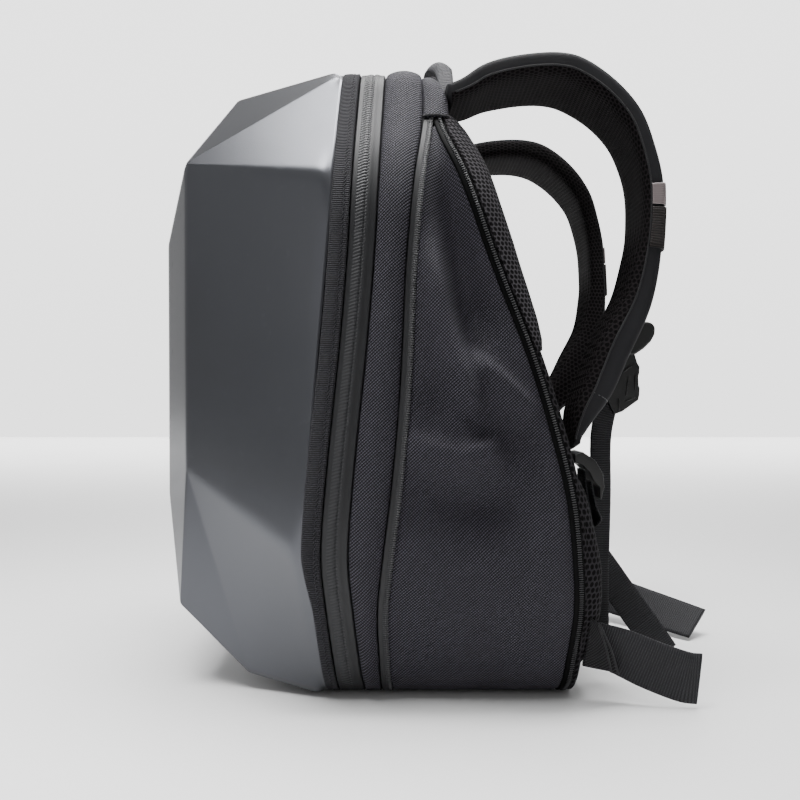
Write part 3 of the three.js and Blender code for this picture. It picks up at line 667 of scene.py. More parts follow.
def same(point, steps):
    """An edge that has shrunk to a point."""
    return np.repeat(point[None], steps + 1, axis=0)


def level(point):
    """The edge from a corner's mirror image to the corner."""
    return straight(point * MIRROR, point, TALL)


def both(a, b, steps):
    """The same edge on the left and on the right."""
    return straight(a * MIRROR, b * MIRROR, steps), straight(a, b, steps)


def right_patches():
    """The facets of the right half, as they follow one another round each corner."""
    roof, brow, chest, belly, flank, chin, sole = (np.array(p, float) for p in SHELL_CORNERS.values())
    _, upper, side, lower, _ = shell_rims(CREASED_LINE)
    _, true_upper, true_side, true_lower, _ = shell_rims(OUTLINE_LINE)
    crown, shoulder, hip, foot = upper[0], side[0], lower[0], lower[-1]
    brow_crown, brow_shoulder = straight(brow, crown, LONG), straight(brow, shoulder, LONG)
    flank_hip, brow_flank = straight(flank, hip, LONG), straight(brow, flank, TALL)
    flank_sole, chin_flank = straight(flank, sole, SHORT), straight(chin, flank, SHORT)
    brow_chest, flank_belly = straight(brow, chest, THIN), straight(flank, belly, THIN)
    return [
        patch(brow_crown, brow_shoulder, same(brow, TALL), upper, true_upper),
        patch(brow_shoulder, flank_hip, brow_flank, side, true_side),
        patch(flank_hip, straight(sole, foot, LONG), flank_sole, lower, true_lower),
        patch(brow_crown, straight(roof, crown, LONG), straight(brow, roof, SHORT), same(crown, SHORT),
              same(true_upper[0], SHORT)),
        patch(chin_flank, straight(chin, sole, SHORT), same(chin, SHORT), flank_sole),
        patch(straight(roof, brow, SHORT), straight(roof, chest, SHORT), same(roof, THIN), brow_chest),
        patch(brow_chest, flank_belly, brow_flank, straight(chest, belly, TALL)),
        patch(chin_flank, straight(chin, belly, SHORT), same(chin, THIN), flank_belly),
    ]


def middle_patches():
    """The facets that lie across the middle, from the top over the front to the base."""
    roof, _, chest, belly, _, chin, sole = (np.array(p, float) for p in SHELL_CORNERS.values())
    over, upper, _, lower, under = shell_rims(CREASED_LINE)
    true_over, _, _, _, true_under = shell_rims(OUTLINE_LINE)
    return [
        patch(*both(roof, upper[0], LONG), level(roof), over, true_over),
        patch(*both(roof, chest, SHORT), level(roof), level(chest)),
        patch(*both(chest, belly, TALL), level(chest), level(belly)),
        patch(*both(belly, chin, SHORT), level(belly), level(chin)),
        patch(*both(chin, sole, SHORT), level(chin), level(sole)),
        patch(*both(sole, lower[-1], LONG), level(sole), under, true_under),
    ]


shell_right = right_patches()
shell_patches = shell_right + [grid * MIRROR for grid in shell_right] + middle_patches()
print("the shell has", len(shell_patches), "patches")

# %% Weld the patches into one wall
CREASE_ROUNDING = 2
OFF_GRID = 0.00037  # keeps shared points from falling on either side of a rounding step
AT_RIM = 0.05


def moulded_shell():
    points, faces = [], []
    for grid in shell_patches:
        faces.append(grid_faces(*grid.shape[:2], start=sum(len(p) for p in points)))
        points.append(grid.reshape(-1, 3))
    points = np.concatenate(points)
    near = np.round(points + OFF_GRID, 3)
    _, first, index = np.unique(near, axis=0, return_index=True, return_inverse=True)
    keys, index = points[first], index.ravel()
    faces = [list(dict.fromkeys(face)) for face in index[np.concatenate(faces)].tolist()]
    faces = [face for face in faces if len(face) > 2]
    piece = add_piece("moulded_shell", keys, faces, keys[:, 1:], SATIN_SHELL)
    make_consistent(piece, (0, -1, 0))
    free = piece.vertex_groups.new(name="free")
    rim = np.abs(keys[:, 1] - shell_end(keys[:, 2])) < AT_RIM
    free.add(np.flatnonzero(~rim).tolist(), 1.0, "REPLACE")
    smooth = piece.modifiers.new("round_creases", "SMOOTH")
    smooth.factor = 0.5
    smooth.iterations = CREASE_ROUNDING
    smooth.vertex_group = "free"
    thick = piece.modifiers.new("wall", "SOLIDIFY")
    thick.thickness = SHELL_WALL * MM
    thick.offset = -1
    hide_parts("front_shell")


def make_consistent(piece, way=(0, 0, 0)):
    """Turn every face the same side out; way is where an open form faces, and a closed one needs none."""
    bm = bmesh.new()
    bm.from_mesh(piece.data)
    bmesh.ops.recalc_face_normals(bm, faces=bm.faces)
    facing = sum(face.calc_area() * float(np.dot(face.normal, way)) for face in bm.faces)
    if facing < 0:
        bmesh.ops.reverse_faces(bm, faces=bm.faces)
    bm.to_mesh(piece.data)
    bm.free()


moulded_shell()

# %% [markdown]
# The rim tape
# A knitted tape covers the shell's rim, with a rolled front edge, a groove where it is sewn and a raised
# lip behind. A bevelled curve could carry that section, but it might twist at the corners. A band made along
# the outline keeps the section upright.

# %% Rim tape
GAP = 0.4
BINDING_PROUD = 1.5
RIM_OVERLAP = 0.6


def zip_front(z):
    return rim_at(z) + GAP + BINDING_WIDTH


def band_front(z):
    return zip_front(z) + GAP + ZIP_WIDTH


def lipped(t, s):
    """The rim tape's section: a rolled front edge, a flat middle and a raised rear lip."""
    rolled = BINDING_PROUD * np.clip(np.sin(np.pi * t), 0, 1)**0.35
    lip = 0.7 * np.exp(-((t - 0.93) / 0.05)**2)
    groove = 0.35 * np.exp(-((t - STITCH_COLUMN) / 0.06)**2)
    return rolled + lip - groove + 0 * s


def flat_inside(depth):
    return lambda t, s: -depth + 0 * t + 0 * s


def binding_front(z):
    return shell_end(z) - RIM_OVERLAP


binding = outline_band("rim_tape", whole_run(5), binding_front, zip_front, lipped, flat_inside(2.4),
                       columns=15, material=KNIT, slot="binding", zero=1)
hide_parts("shell_binding")

# %% [markdown]
# The main zip
# The closed zip is a coated tape: the coil behind it presses through as two ribbed ridges with a slit
# between them. A flat tape with a pattern would do from far away, but the ridges and the slit catch the light.
# So they are shape, and only the fine ribs of the coil are relief in the finish.

# %% Main zip tape
TUCK = 2.0  # how far a tape goes under its neighbours
SLIT_WIDTH, SLIT_DEPTH = 1.3, 3.0


def tucked_in(t, width):
    """How far cloth sinks where it goes under its neighbour: deep below the tuck, then up to the light."""
    return SLIT_DEPTH * (1 - smooth_step((t * width - TUCK) / SLIT_WIDTH))


def coil_ridges(t, s):
    """The main zip's section: two ridges with a slit between, waving a little along the tape."""
    ridges = sum(0.6 * np.exp(-((t - place) / 0.08)**2) for place in (0.43, 0.63))
    slit = 0.8 * np.exp(-((t - 0.53) / 0.014)**2)
    width = ZIP_WIDTH + 2 * TUCK
    tucked = tucked_in(t, width) + tucked_in(1 - t, width)
    waves = 0.12 * np.sin(s / 23.0) + 0.08 * np.sin(s / 9.1)
    return 0.5 * np.sin(np.pi * t) - tucked + ridges - slit + waves


def under_rim_tape(z):
    return zip_front(z) - TUCK


def under_band(z):
    return band_front(z) + TUCK


main_zip = outline_band("main_zip", whole_run(5), under_rim_tape, under_band, coil_ridges, flat_inside(4.6),
                        columns=57, material=MAIN_ZIP, slot="coated_tape")
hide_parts("main_zip_tape")

# %% [markdown]
# The padded band and the top cap
# Behind the zip runs a stuffed twill band, fullest in its middle and pulled in at both seams, where the
# thread gathers the cloth into small puckers. Sculpting would make each pucker by hand. Here two sine waves
# along the seam do, fading towards the middle. The cap over the top is the same cloth, hemmed at its ends.

# %% Stuffed band
BAND_PUFF = 4.6
TAPE_WIDTH = 8
APEX_Z = 438
PUCKER_PITCH = 17.0


def puckers(s):
    """Gathers along a seam, uneven in size."""
    turns = 2 * np.pi * s / PUCKER_PITCH
    return np.sin(turns) * 0.6 + np.sin(turns / 1.73 + 1.1) * 0.4


def stuffed(puff):
    """A section that is full in the middle and gathered at its seams."""
    def height(t, s):
        crown = np.clip(np.sin(np.pi * t), 0, 1)**0.55
        seam_side = np.exp(-(t / 0.16)**2) + np.exp(-((1 - t) / 0.16)**2)
        return -1.4 + (puff + 0.5) * crown + 0.35 * puckers(s) * seam_side * crown
    return height


def band_back(z):
    return seam_at(z) - TAPE_WIDTH


band = outline_band("twill_band", whole_run(3.5), band_front, band_back, stuffed(BAND_PUFF), flat_inside(3.0),
                    columns=25, material=TWILL, slot="twill")
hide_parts("gusset_band")

# %% Cap over the top
CAP_PUFF, CAP_DROOP = 2.8, 4.5
CAP_WIDTH, CAP_OVERHANG = 20, 5
cap_run = Run(cut_line(APEX_Z + GAP, True), 3.5, False)


def drooping(t, s):
    """The cap's cloth: stuffed at the sides, and sunk between its seams over the top."""
    droop = CAP_DROOP * np.clip(cap_run.out_z, 0, 1)[:, None]**3 * np.clip(t * 6, 0, 1)
    return stuffed(CAP_PUFF)(t, s) - droop - tucked_in(t, CAP_WIDTH)


def behind_band(z):
    return band_back(z) - TUCK


def cap_back(z):
    return back_top(z) + GAP + CAP_OVERHANG


cap = outline_band("top_strip", cap_run, behind_band, cap_back, drooping, flat_inside(9.5),
                   columns=33, material=TWILL, slot="twill")
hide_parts("top_cap")

# %% [markdown]
# The opened expansion zip
# The second zip is undone, so each half is a tape whose edge carries a row of teeth: a grey coated one in
# front and a dull black one behind. The teeth are many and alike. An array modifier would need a curve for
# each row, so one small tooth is made as points, and copies of it are placed along the edge in one mesh.
# The stitches of the rim tape are made in the same way.

# %% The two tapes
COIL_WIDTH = 7.6


def tape_height(t, s):
    """The front tape's section: it rises from under the band to a ridge near its teeth."""
    ridge = 0.5 * np.exp(-((t - 0.82) / 0.12)**2)
    return -0.4 + 0.8 * t**0.8 - tucked_in(t, TAPE_WIDTH + TUCK) + ridge + 0.1 * np.sin(s / 13.0)


def coil_height(t, s):
    """The rear tape's section: low and round."""
    return -0.3 + np.clip(np.sin(np.pi * t), 0, 1)**0.7 + 0 * s


def wedge_back(z):
    return back_at(z) - COIL_WIDTH


edge_run = Run(cut_line(APEX_Z, False), 4, False)
front_tape = outline_band("expansion_tape_front", edge_run, behind_band, seam_at, tape_height,
                          flat_inside(4.6), columns=25, material=FRONT_ZIP, slot="coated_tape")
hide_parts("expansion_zip_front")
rear_tape = outline_band("expansion_tape_rear", edge_run, wedge_back, back_at, coil_height, flat_inside(2.4),
                         columns=11, material=REAR_ZIP, slot="coated_tape")
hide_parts("expansion_zip_rear")

# %% Rows of teeth
BEAD_SIDES = 6


def bead_shape():
    """The points and faces of a bar with blunt tips, 2 long and about 2 thick."""
    ring = np.linspace(0, 2 * np.pi, BEAD_SIDES, endpoint=False)
    points = [(-1, 0, 0)]
    for place in (-0.62, 0.62):
        points += [(place, 0.8 * math.cos(a), 0.8 * math.sin(a)) for a in ring]
    points = np.array(points + [(1, 0, 0)])
    pairs = [(1 + k, 1 + (k + 1) % BEAD_SIDES) for k in range(BEAD_SIDES)]
    last = len(points) - 1
    faces = [(0, b, a) for a, b in pairs]
    faces += [(a, b, b + BEAD_SIDES, a + BEAD_SIDES) for a, b in pairs]
    faces += [(last, a + BEAD_SIDES, b + BEAD_SIDES) for a, b in pairs]
    return points, faces


def beads(name, centres, along, out, size, material):
    """Many small bars in one mesh: size is half length along, half width and half height."""
    shape, faces = bead_shape()
    across = np.cross(out, along)
    axes = np.stack([along * size[0], across * size[1], out * size[2]], axis=1)
    points = (centres[:, None, :] + np.einsum("pk,nkc->npc", shape, axes)).reshape(-1, 3)
    every = [[k + start for k in face] for start in range(0, len(points), len(shape)) for face in faces]
    lengths = np.tile(shape[:, :2] * np.array(size[:2]), (len(centres), 1))
    add_piece(name, points, every, lengths, material)


def unit(ways):
    """Directions made one long."""
    return ways / np.linalg.norm(ways, axis=1)[:, None]


def along_run(run, y, out):
    """Points on a run with the way along and the way out at each."""
    points = run.beside(y[:, None], np.full((len(run.z), 1), out))[:, 0]
    along = unit(np.gradient(points, axis=0))
    ways_out = np.stack([run.out_x, 0 * run.z, run.out_z], axis=1)
    return points, along, ways_out


TOOTH_WIDTH, TOOTH_HEIGHT = 0.5, 0.55
TEETH = [  # name, the edge that carries them, how far in from it, lift, half length, finish
    ("teeth_front", seam_at, 0.5, 0.55, 1.4, TOOTH),
    ("teeth_rear", back_at, 2.7, 0.9, 1.7, PALE_TOOTH),
]
tooth_run = Run(cut_line(APEX_Z - 1, False), TOOTH_PITCH, False)
for name, edge, inset, lift, half_long, finish in TEETH:
    points, along, ways_out = along_run(tooth_run, edge(tooth_run.z) - inset, lift)
    depth = np.cross(along, ways_out)
    beads(name, points, depth, ways_out, (half_long, TOOTH_WIDTH, TOOTH_HEIGHT), finish)

# %% Stitches round the rim
STITCH_PITCH, STITCH = 3.4, (1.2, 0.35, 0.3)
stitch_run = whole_run(STITCH_PITCH)
stitch_y = rim_at(stitch_run.z) + BINDING_WIDTH * STITCH_COLUMN
points, along, ways_out = along_run(stitch_run, stitch_y, BINDING_PROUD - 0.1)
beads("rim_stitches", points, along, ways_out, STITCH, THREAD)

# %% [markdown]
# The expansion wedge
# The wedge is slack twill held at both tapes. It could be simulated, but then its folds would fall where
# they like. This bag's folds are few and broad, so they are drawn: round hollows where the cloth sinks in,
# and long folds that rise along a line and fall off slowly below it. A fine grid carries both, and the two
# tapes hold its edges still.

# %% Sagging twill
WEDGE_TOP_Z = 430
WEDGE_COLUMNS = 61
CLOTH = 2
SEAM_SINK, SEAM_REACH = 1.6, 0.03
HOLLOWS = [  # y and height of the middle, depth, reach in y, reach in height
    (-8, 372, 9.0, 16, 36),
    (8, 335, 16.0, 18, 48),
    (20, 285, 12.0, 18, 26),
    (-14, 222, 7.0, 16, 18),
    (50, 192, 11.0, 22, 24),
    (-4, 150, 14.0, 70, 24),
    (20, 70, -4.0, 60, 40),
]
FOLDS = [  # height above the cloth, reach above and below, then the y and height of each point along it
    (15.0, 8.0, 12.0, ((-19, 362), (-15, 325), (-9, 290), (-1, 262), (9, 231))),
    (12.0, 5.0, 11.0, ((4, 268), (28, 246), (52, 224))),
    (12.0, 6.0, 18.0, ((-54, 203), (2, 188), (23, 193))),
]
GROWING = 0.45  # the share of a fold over which it rises


def fold_shape(y, z, above, below, points):
    """1 along a line, growing from 0 at its first point, with a reach of its own above and below."""
    ways = np.diff(np.array(points, float), axis=0)
    lengths = np.hypot(ways[:, 0], ways[:, 1])
    nearest = np.full(y.shape, 1e9)
    reach, grown = np.full(y.shape, above), np.zeros(y.shape)
    for (y0, z0), way, length, before in zip(points, ways, lengths, np.cumsum(lengths) - lengths):
        t = np.clip(((y - y0) * way[0] + (z - z0) * way[1]) / length**2, 0, 1)
        distance = np.hypot(y - y0 - t * way[0], z - z0 - t * way[1])
        over = (way[0] * (z - z0) - way[1] * (y - y0)) / length
        share = 0.5 + 0.5 * over / (distance + 0.5)
        place = (before + t * length) / lengths.sum()
        closer = distance < nearest
        reach = np.where(closer, below + (above - below) * share, reach)
        grown = np.where(closer, np.clip(place / GROWING, 0, 1), grown)
        nearest = np.minimum(nearest, distance)
    return np.sin(grown * np.pi / 2)**2 * np.exp(-(nearest / reach)**2)


def wedge_depth(y, z):
    """How far the slack cloth sinks in at a place on the bag's side."""
    depth = 0 * y
    for y0, z0, deep, reach_y, reach_z in HOLLOWS:
        depth = depth + deep * np.exp(-((y - y0) / reach_y)**2 - ((z - z0) / reach_z)**2)
    for high, above, below, points in FOLDS:
        depth = depth - high * fold_shape(y, z, above, below, points)
    return depth


def sagging_wedge():
    run = Run(cut_line(WEDGE_TOP_Z, False), 3, False)
    t = np.linspace(0, 1, WEDGE_COLUMNS)[None, :]
    first = (seam_at(run.z) - TUCK)[:, None]
    last = (wedge_back(run.z) + TUCK)[:, None]
    held = np.sin(np.pi * t)**0.8 * np.abs(run.out_x)[:, None]
    tucked = SEAM_SINK * (np.exp(-(t / SEAM_REACH)**2) + np.exp(-((1 - t) / SEAM_REACH)**2))
    y = first + (last - first) * t
    depth = wedge_depth(y, run.z[:, None] + 0 * y) * held + tucked
    outer, inner = run.beside(y, -depth), run.beside(y, -depth - CLOTH)
    return wall("wedge_cloth", outer, inner, run.along, (last - first) * t, TWILL, "twill")


wedge = sagging_wedge()
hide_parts("expansion_gusset")

# %% [markdown]
# The back board and its mesh pads
# The board bends with the back of the bag and is covered in mesh. Two pads of thick open mesh sit on it.
# The board and the lower pad wear a darker copy of the upper pad's mesh: painted shade. A subdivided box
# would lose the bend, so a pad is made row by row: its table gives the thickness at each height, and a
# rounded section takes it down to the board at the sides.

# %% Plates across the bag
PANEL_THICKNESS = 5
PAD_SUNK = 4.4  # how far a pad's edge wraps down over the board's edge
PLATE_COLUMNS = 71
PAD_UPPER = [(441, 3), (437, 8), (428, 12), (412, 14), (392, 13.5), (370, 12.5), (340, 12), (308, 10),
             (285, 7.8), (270, 5), (262, 1.8)]
PAD_LOWER = [(168, 1.8), (160, 4.2), (141, 6.6), (105, 11.5), (60, 10.5), (42, 8.5), (34, 5), (30, 1.8)]


def half_width(z):
    """Half the width of the rounded outline at a height."""
    middle = len(OUTLINE_LINE) // 2
    right = OUTLINE_LINE[1:middle][::-1]
    return np.interp(z, right[:, 1], right[:, 0])


def plate(name, table, inset, front, fullness, material, slot):
    """A crowned sheet across the bag; the table's rows are height and thickness."""
    heights, thickness = np.array(table, float).T
    count = int((heights[0] - heights[-1]) / 4) + 2
    z = np.linspace(heights[0], heights[-1], count)
    thick = np.interp(z, heights[::-1], thickness[::-1])
    t = np.sin(np.linspace(-1, 1, PLATE_COLUMNS) * math.pi / 2)[None, :]
    half = (half_width(z) - inset)[:, None]
    base = front(z)[:, None] + 0 * t
    rear = base + thick[:, None] * fullness(t)
    x, level = half * t, z[:, None] + 0 * t
    along = walked(np.stack([z, front(z)], axis=1))
    wide_steps = np.diff(x, axis=1, prepend=x[:, :1])
    deep_steps = np.diff(rear, axis=1, prepend=rear[:, :1])
    across = np.cumsum(np.hypot(wide_steps, deep_steps), axis=1)
    outer, inner = np.stack([x, rear, level], axis=2), np.stack([x, base, level], axis=2)
    return wall(name, outer, inner, along, across - across[:, -1:] / 2, material, slot)


def panel_front(z):
    return back_top(z) + GAP


def sunk_front(z):
    return panel_front(z) + PANEL_THICKNESS + GAP - PAD_SUNK


def squared_off(power, edge):
    """A section that is full over most of its width and falls to a thin edge at the sides."""
    return lambda t: edge + (1 - edge) * (1 - np.abs(t)**power)**0.5


BOARD = [(BAG_HEIGHT, PANEL_THICKNESS), (0, PANEL_THICKNESS)]
# The board wears the darker copy of the pad mesh: painted shade.
board = plate("back_board", BOARD, 0.6, panel_front, squared_off(40, 0.06), SHADED_PAD_MESH, "twill")
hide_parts("back_panel")
PADS = [  # name, table, inset from the outline, finish, the solid it replaces
    ("mesh_pad_upper", PAD_UPPER, -0.2, PAD_MESH, "back_pad_upper"),
    # The lower pad wears the darker copy of the pad mesh: painted shade.
    ("mesh_pad_lower", PAD_LOWER, 2, SHADED_PAD_MESH, "back_pad_lower"),
]
for name, table, inset, finish, node in PADS:
    rows = [(z, thick + PAD_SUNK) for z, thick in table]
    pad = plate(name, rows, inset, sunk_front, squared_off(22, 0.04), finish, "spacer_mesh")
    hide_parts(node)

# %% [markdown]
# Straps and webbing along a path
# A strap is a section carried along a smooth path. The path's rows give its place, width and turn,
# and a frame is carried along it: one direction across the strap and one out of its face.
# Webbing is nearly flat, so its two faces are two grids. It is made straight from the path, because
# a simulation would only blur its edges.

# %% Paths
def path_points(rows, steps):
    """A smooth curve through the rows, with every other column carried along; rows start x, y, z."""
    rows = np.array(rows, float)
    line = np.concatenate([[2 * rows[0] - rows[1]], rows, [2 * rows[-1] - rows[-2]]])
    u = np.linspace(0, len(rows) - 1, steps)
    k = np.minimum(u.astype(int), len(rows) - 2)
    t = (u - k)[:, None]
    a, b, c, d = (line[k + n, :3] for n in range(4))
    da, db, dc = (np.linalg.norm(q - p, axis=1)[:, None]**0.5 for p, q in ((a, b), (b, c), (c, d)))
    start = ((b - a) / da - (c - a) / (da + db) + (c - b) / db) * db
    end = ((c - b) / db - (d - b) / (db + dc) + (d - c) / dc) * db
    at = b + t * start + t**2 * (3 * (c - b) - 2 * start - end) + t**3 * (2 * (b - c) + start + end)
    rest = rows[k, 3:] + (rows[k + 1, 3:] - rows[k, 3:]) * t
    return at, rest


def path_frame(at, side, turn):
    """The directions along, across and out at each point of a path."""
    along = unit(np.gradient(at, axis=0))
    flat = unit(np.array(side, float) - along * (along @ np.array(side, float))[:, None])
    face = np.cross(along, flat)
    angle = np.radians(turn)[:, None]
    across = flat * np.cos(angle) + face * np.sin(angle)
    return along, across, np.cross(along, across)


X_SIDE, Y_SIDE = (1, 0, 0), (0, 1, 0)
WEB_STEPS, WEB_COLUMNS = 90, 13


def webbing_strip(name, rows, thickness, material, node, side):
    """Flat webbing with thin selvedges; rows are x, y, z, width, turn and, if cupped, the edges' droop."""
    at, rest = path_points(rows, WEB_STEPS)
    _, across, out = path_frame(at, side, rest[:, 1])
    t = np.linspace(-0.5, 0.5, WEB_COLUMNS)
    half = thickness / 2 * (1 - 0.55 * np.abs(2 * t)**6)
    middle = at[:, None] + across[:, None] * (t[None, :, None] * rest[:, :1, None])
    if rest.shape[1] > 2:
        middle = middle + out[:, None] * (rest[:, 2:3] * (2 * t)**2)[..., None]
    grown = out[:, None] * half[None, :, None]
    piece = wall(name, middle + grown, middle - grown, walked(at), t * rest[:, :1], material, "webbing")
    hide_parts(node)


print("webbing has", WEB_STEPS, "rows of", WEB_COLUMNS, "points on each face")

# %% Loose ends, belts and the grab loop
WEB_THICKNESS, BELT_THICKNESS = 1.8, 2.2
ADJUSTER = [(96, 97.2, 22, 25, 0), (98, 112, 50, 25, 0), (104, 111.5, 105, 25, 0), (107, 106.4, 126, 25, 0),
            (109, 102.8, 145, 25, 0), (110, 99.8, 161, 25, 0), (110, 99, 173, 25, 0)]
TAIL_RIGHT = [(112, 103.3, 164.8, 24, 0), (112, 106.5, 149, 24, 0), (106, 109.6, 142, 25, 0),
              (92, 110, 136, 25, 0), (74, 110, 128, 25, 4), (60, 115.4, 117, 25, 30), (55, 122, 100, 25, 70),
              (54, 136, 78, 25, 85), (54, 163, 40, 25, 85), (54, 182, 13, 25, 85)]
TAIL_LEFT = [(-112, 103.3, 164.8, 24, 0), (-113, 106.7, 146, 24, 0), (-113, 113, 132, 25, 0),
             (-113, 119.5, 105, 25, 0), (-113, 123, 62, 25, 0)]
CHEST_TAIL = [(84, 126.0, 224.0, 17, 86), (84, 121, 198, 17, 86), (83, 121.2, 150, 16, 86),
              (82, 120, 90, 16, 86), (82, 120, 24, 16, 86)]
BELT_RIGHT = [(126.4, 101.8, 45, 38, -68), (127.6, 122, 39.5, 38, -72), (132.5, 145, 30.5, 38, -80),
              (136, 170, 22.5, 38, -86), (136.5, 179.5, 21.6, 38, -86)]
BELT_LEFT = [(-127.2, 103.1, 45, 38, 68), (-123, 133, 35, 38, 72), (-95, 175, 26, 38, 66),
             (-76, 197, 21.5, 38, 55), (-32, 243, 13.2, 38, 40)]
HALF_HANDLE = [(78, -3, 468, 12, 0, 0), (72, -2.5, 482, 12, 0, 0), (64, -3.5, 496, 14, 0, 1),
               (58, -5.5, 505, 18, 0, 4), (50, -7, 510.5, 22, 0, 7), (38, -8, 513.5, 22, 0, 7),
               (20, -8.5, 515, 22, 0, 6), (0, -9, 515.5, 22, 0, 5)]
HANDLE = HALF_HANDLE + [(-x, *rest) for x, *rest in HALF_HANDLE[-2::-1]]
ADJUSTER_LEFT = [(-x, *rest) for x, *rest in ADJUSTER]
WEBS = [  # name, rows, thickness, finish, the solid it replaces
    ("adjuster_web_right", ADJUSTER, WEB_THICKNESS, WEBBING, "adjuster_webbing_right"),
    ("adjuster_web_left", ADJUSTER_LEFT, WEB_THICKNESS, WEBBING, "adjuster_webbing_left"),
    ("loose_end_right", TAIL_RIGHT, WEB_THICKNESS, WEBBING, "adjuster_tail_right"),
    ("loose_end_left", TAIL_LEFT, WEB_THICKNESS, WEBBING, "adjuster_tail_left"),
    ("chest_loose_end", CHEST_TAIL, WEB_THICKNESS, WEBBING, "sternum_tail_right"),
    ("belt_right", BELT_RIGHT, BELT_THICKNESS, WEBBING, "belt_webbing_right"),
    ("belt_left", BELT_LEFT, BELT_THICKNESS, WEBBING, "belt_webbing_left"),
    ("grab_loop", HANDLE, BELT_THICKNESS, GREY_WEBBING, "carry_handle"),
]
for name, rows, thickness, finish, node in WEBS:
    webbing_strip(name, rows, thickness, finish, node, Y_SIDE if name == "grab_loop" else X_SIDE)

# %% [markdown]
# The shoulder straps
# Each strap is foam between a mesh inside and a smooth cloth outside, sewn together along both edges.
# Two cloths with foam between could be modelled apart, but only the outside shows: the section is a closed
# ring, so the strap is one ring of points carried along the path. The mesh covers the side of the wearer and
# goes round the edge towards the bag's middle, the cloth covers the rest, and a piping lies on each seam.

# %% The path of a strap
STRAP = [(92, -4, 459, 58, 13), (91, 10, 463.8, 66, 15), (90, 27, 472.5, 73, 17), (90, 57, 478.5, 75, 18),
         (90, 81, 479, 75, 18), (90, 96, 475, 75, 18), (92, 119.5, 458.5, 71, 17), (94.5, 136, 438, 66, 16),
         (97, 145, 414, 61, 16), (98, 150, 391, 59, 16), (98, 150.5, 366, 59, 16), (98, 148.5, 341, 59, 16),
         (98, 140.5, 303, 60, 22), (99, 124, 268, 60, 25), (101, 110, 235, 56, 23), (105, 98.5, 213, 47, 16),
         (107.5, 93.5, 199, 38, 9), (109.5, 92, 190.8, 30, 6)]
LEFT_SWING, LEFT_DROP = 6, 9
LOWER_SWING, LOWER_ROW, LOWER_ROWS = 10.5, 13, 2.2  # the left strap also hangs further out round this row
STRAP_STEPS, STRAP_RING = 150, 120


def strap_rows(side):
    """Rows of x, y, z, width and thickness; the left strap hangs a little slack."""
    rows = []
    for k, (x, y, z, width, thick) in enumerate(STRAP):
        slack = math.sin(math.pi * k / (len(STRAP) - 1)) if side < 0 else 0
        lower = math.exp(-((k - LOWER_ROW) / LOWER_ROWS)**2) if side < 0 else 0
        swing = LEFT_SWING * slack + LOWER_SWING * lower
        rows.append((x * side, y + swing, z - LEFT_DROP * slack, width, thick))
    return rows


def eased(values):
    """Values along a path with the corners between its rows taken off."""
    reach = max(2, len(values) // 24)
    kernel = np.ones(2 * reach + 1) / (2 * reach + 1)
    return np.convolve(np.pad(values, reach, mode="edge"), kernel, "valid")


def strap_frame(side, steps):
    """Place, the ways along, across and out, the width and the thickness along a strap."""
    at, rest = path_points(strap_rows(side), steps)
    along, across, out = path_frame(at, X_SIDE, np.zeros(steps))
    return at, along, across, out, eased(rest[:, 0]), eased(rest[:, 1])


print("the right strap is", round(float(walked(strap_frame(1, STRAP_STEPS)[0])[-1])), "mm long")

# %% The section of a strap
STRAP_FLATNESS = 3.5  # about how many times wider than thick a strap is
EDGE_POWER, FACE_POWER = 0.32, 0.5  # how square the section is at its edges and over its faces
OUTER_SEAM, INNER_SEAM = 0.2, -0.38  # the seams' places in the thickness: away from the middle, towards it


def seam_level(wide, side):
    """The mesh goes round the edge towards the middle of the bag, and the cloth round the other edge."""
    return np.where(wide * side > 0, OUTER_SEAM, INNER_SEAM)


def bar_point(turn):
    """A point of a rounded bar, in parts of its width and thickness."""
    c, s = np.cos(turn), np.sin(turn)
    return 0.5 * np.sign(c) * np.abs(c)**EDGE_POWER, 0.5 * np.sign(s) * np.abs(s)**FACE_POWER


def strap_section(count):
    """The rounded bar, from one edge round to it again in even steps."""
    turn = np.linspace(0, 2 * np.pi, 4001)
    wide, high = bar_point(turn)
    way_round = walked(np.stack([wide, high / STRAP_FLATNESS], axis=1))
    even = np.interp(np.linspace(0, way_round[-1], count, endpoint=False), way_round, turn)
    return np.interp(even, turn, wide), np.interp(even, turn, high)


print("a strap's section has", len(strap_section(STRAP_RING)[0]), "points")

# %% Padded straps
PLEAT_PITCH, PLEAT = 7.0, 1.0
PLEATS_FROM, PLEATS_GROW, PLEATS_FADE = 0.55, 0.15, 0.08  # parts of the strap's length


def pleated(length, high, round_edge):
    """Small pleats that run along the mesh in the strap's lower part."""
    place = length / length[-1]
    lower_part = np.clip((place - PLEATS_FROM) / PLEATS_GROW, 0, 1) * np.clip((1 - place) / PLEATS_FADE, 0, 1)
    on_mesh = np.clip(high * 6 - 1.6, 0, 1)
    return PLEAT * lower_part[:, None] * on_mesh * np.sin(2 * np.pi * round_edge / PLEAT_PITCH)


def tube_faces(rows, sides):
    """The points of a tube ring by ring, their neighbours round the ring, and the faces between the rings."""
    rings = np.arange(rows * sides).reshape(rows, sides)
    around = np.roll(rings, -1, axis=1)
    faces = np.stack([rings[:-1], around[:-1], around[1:], rings[1:]], axis=2)
    return rings, around, faces.reshape(-1, 4).tolist()


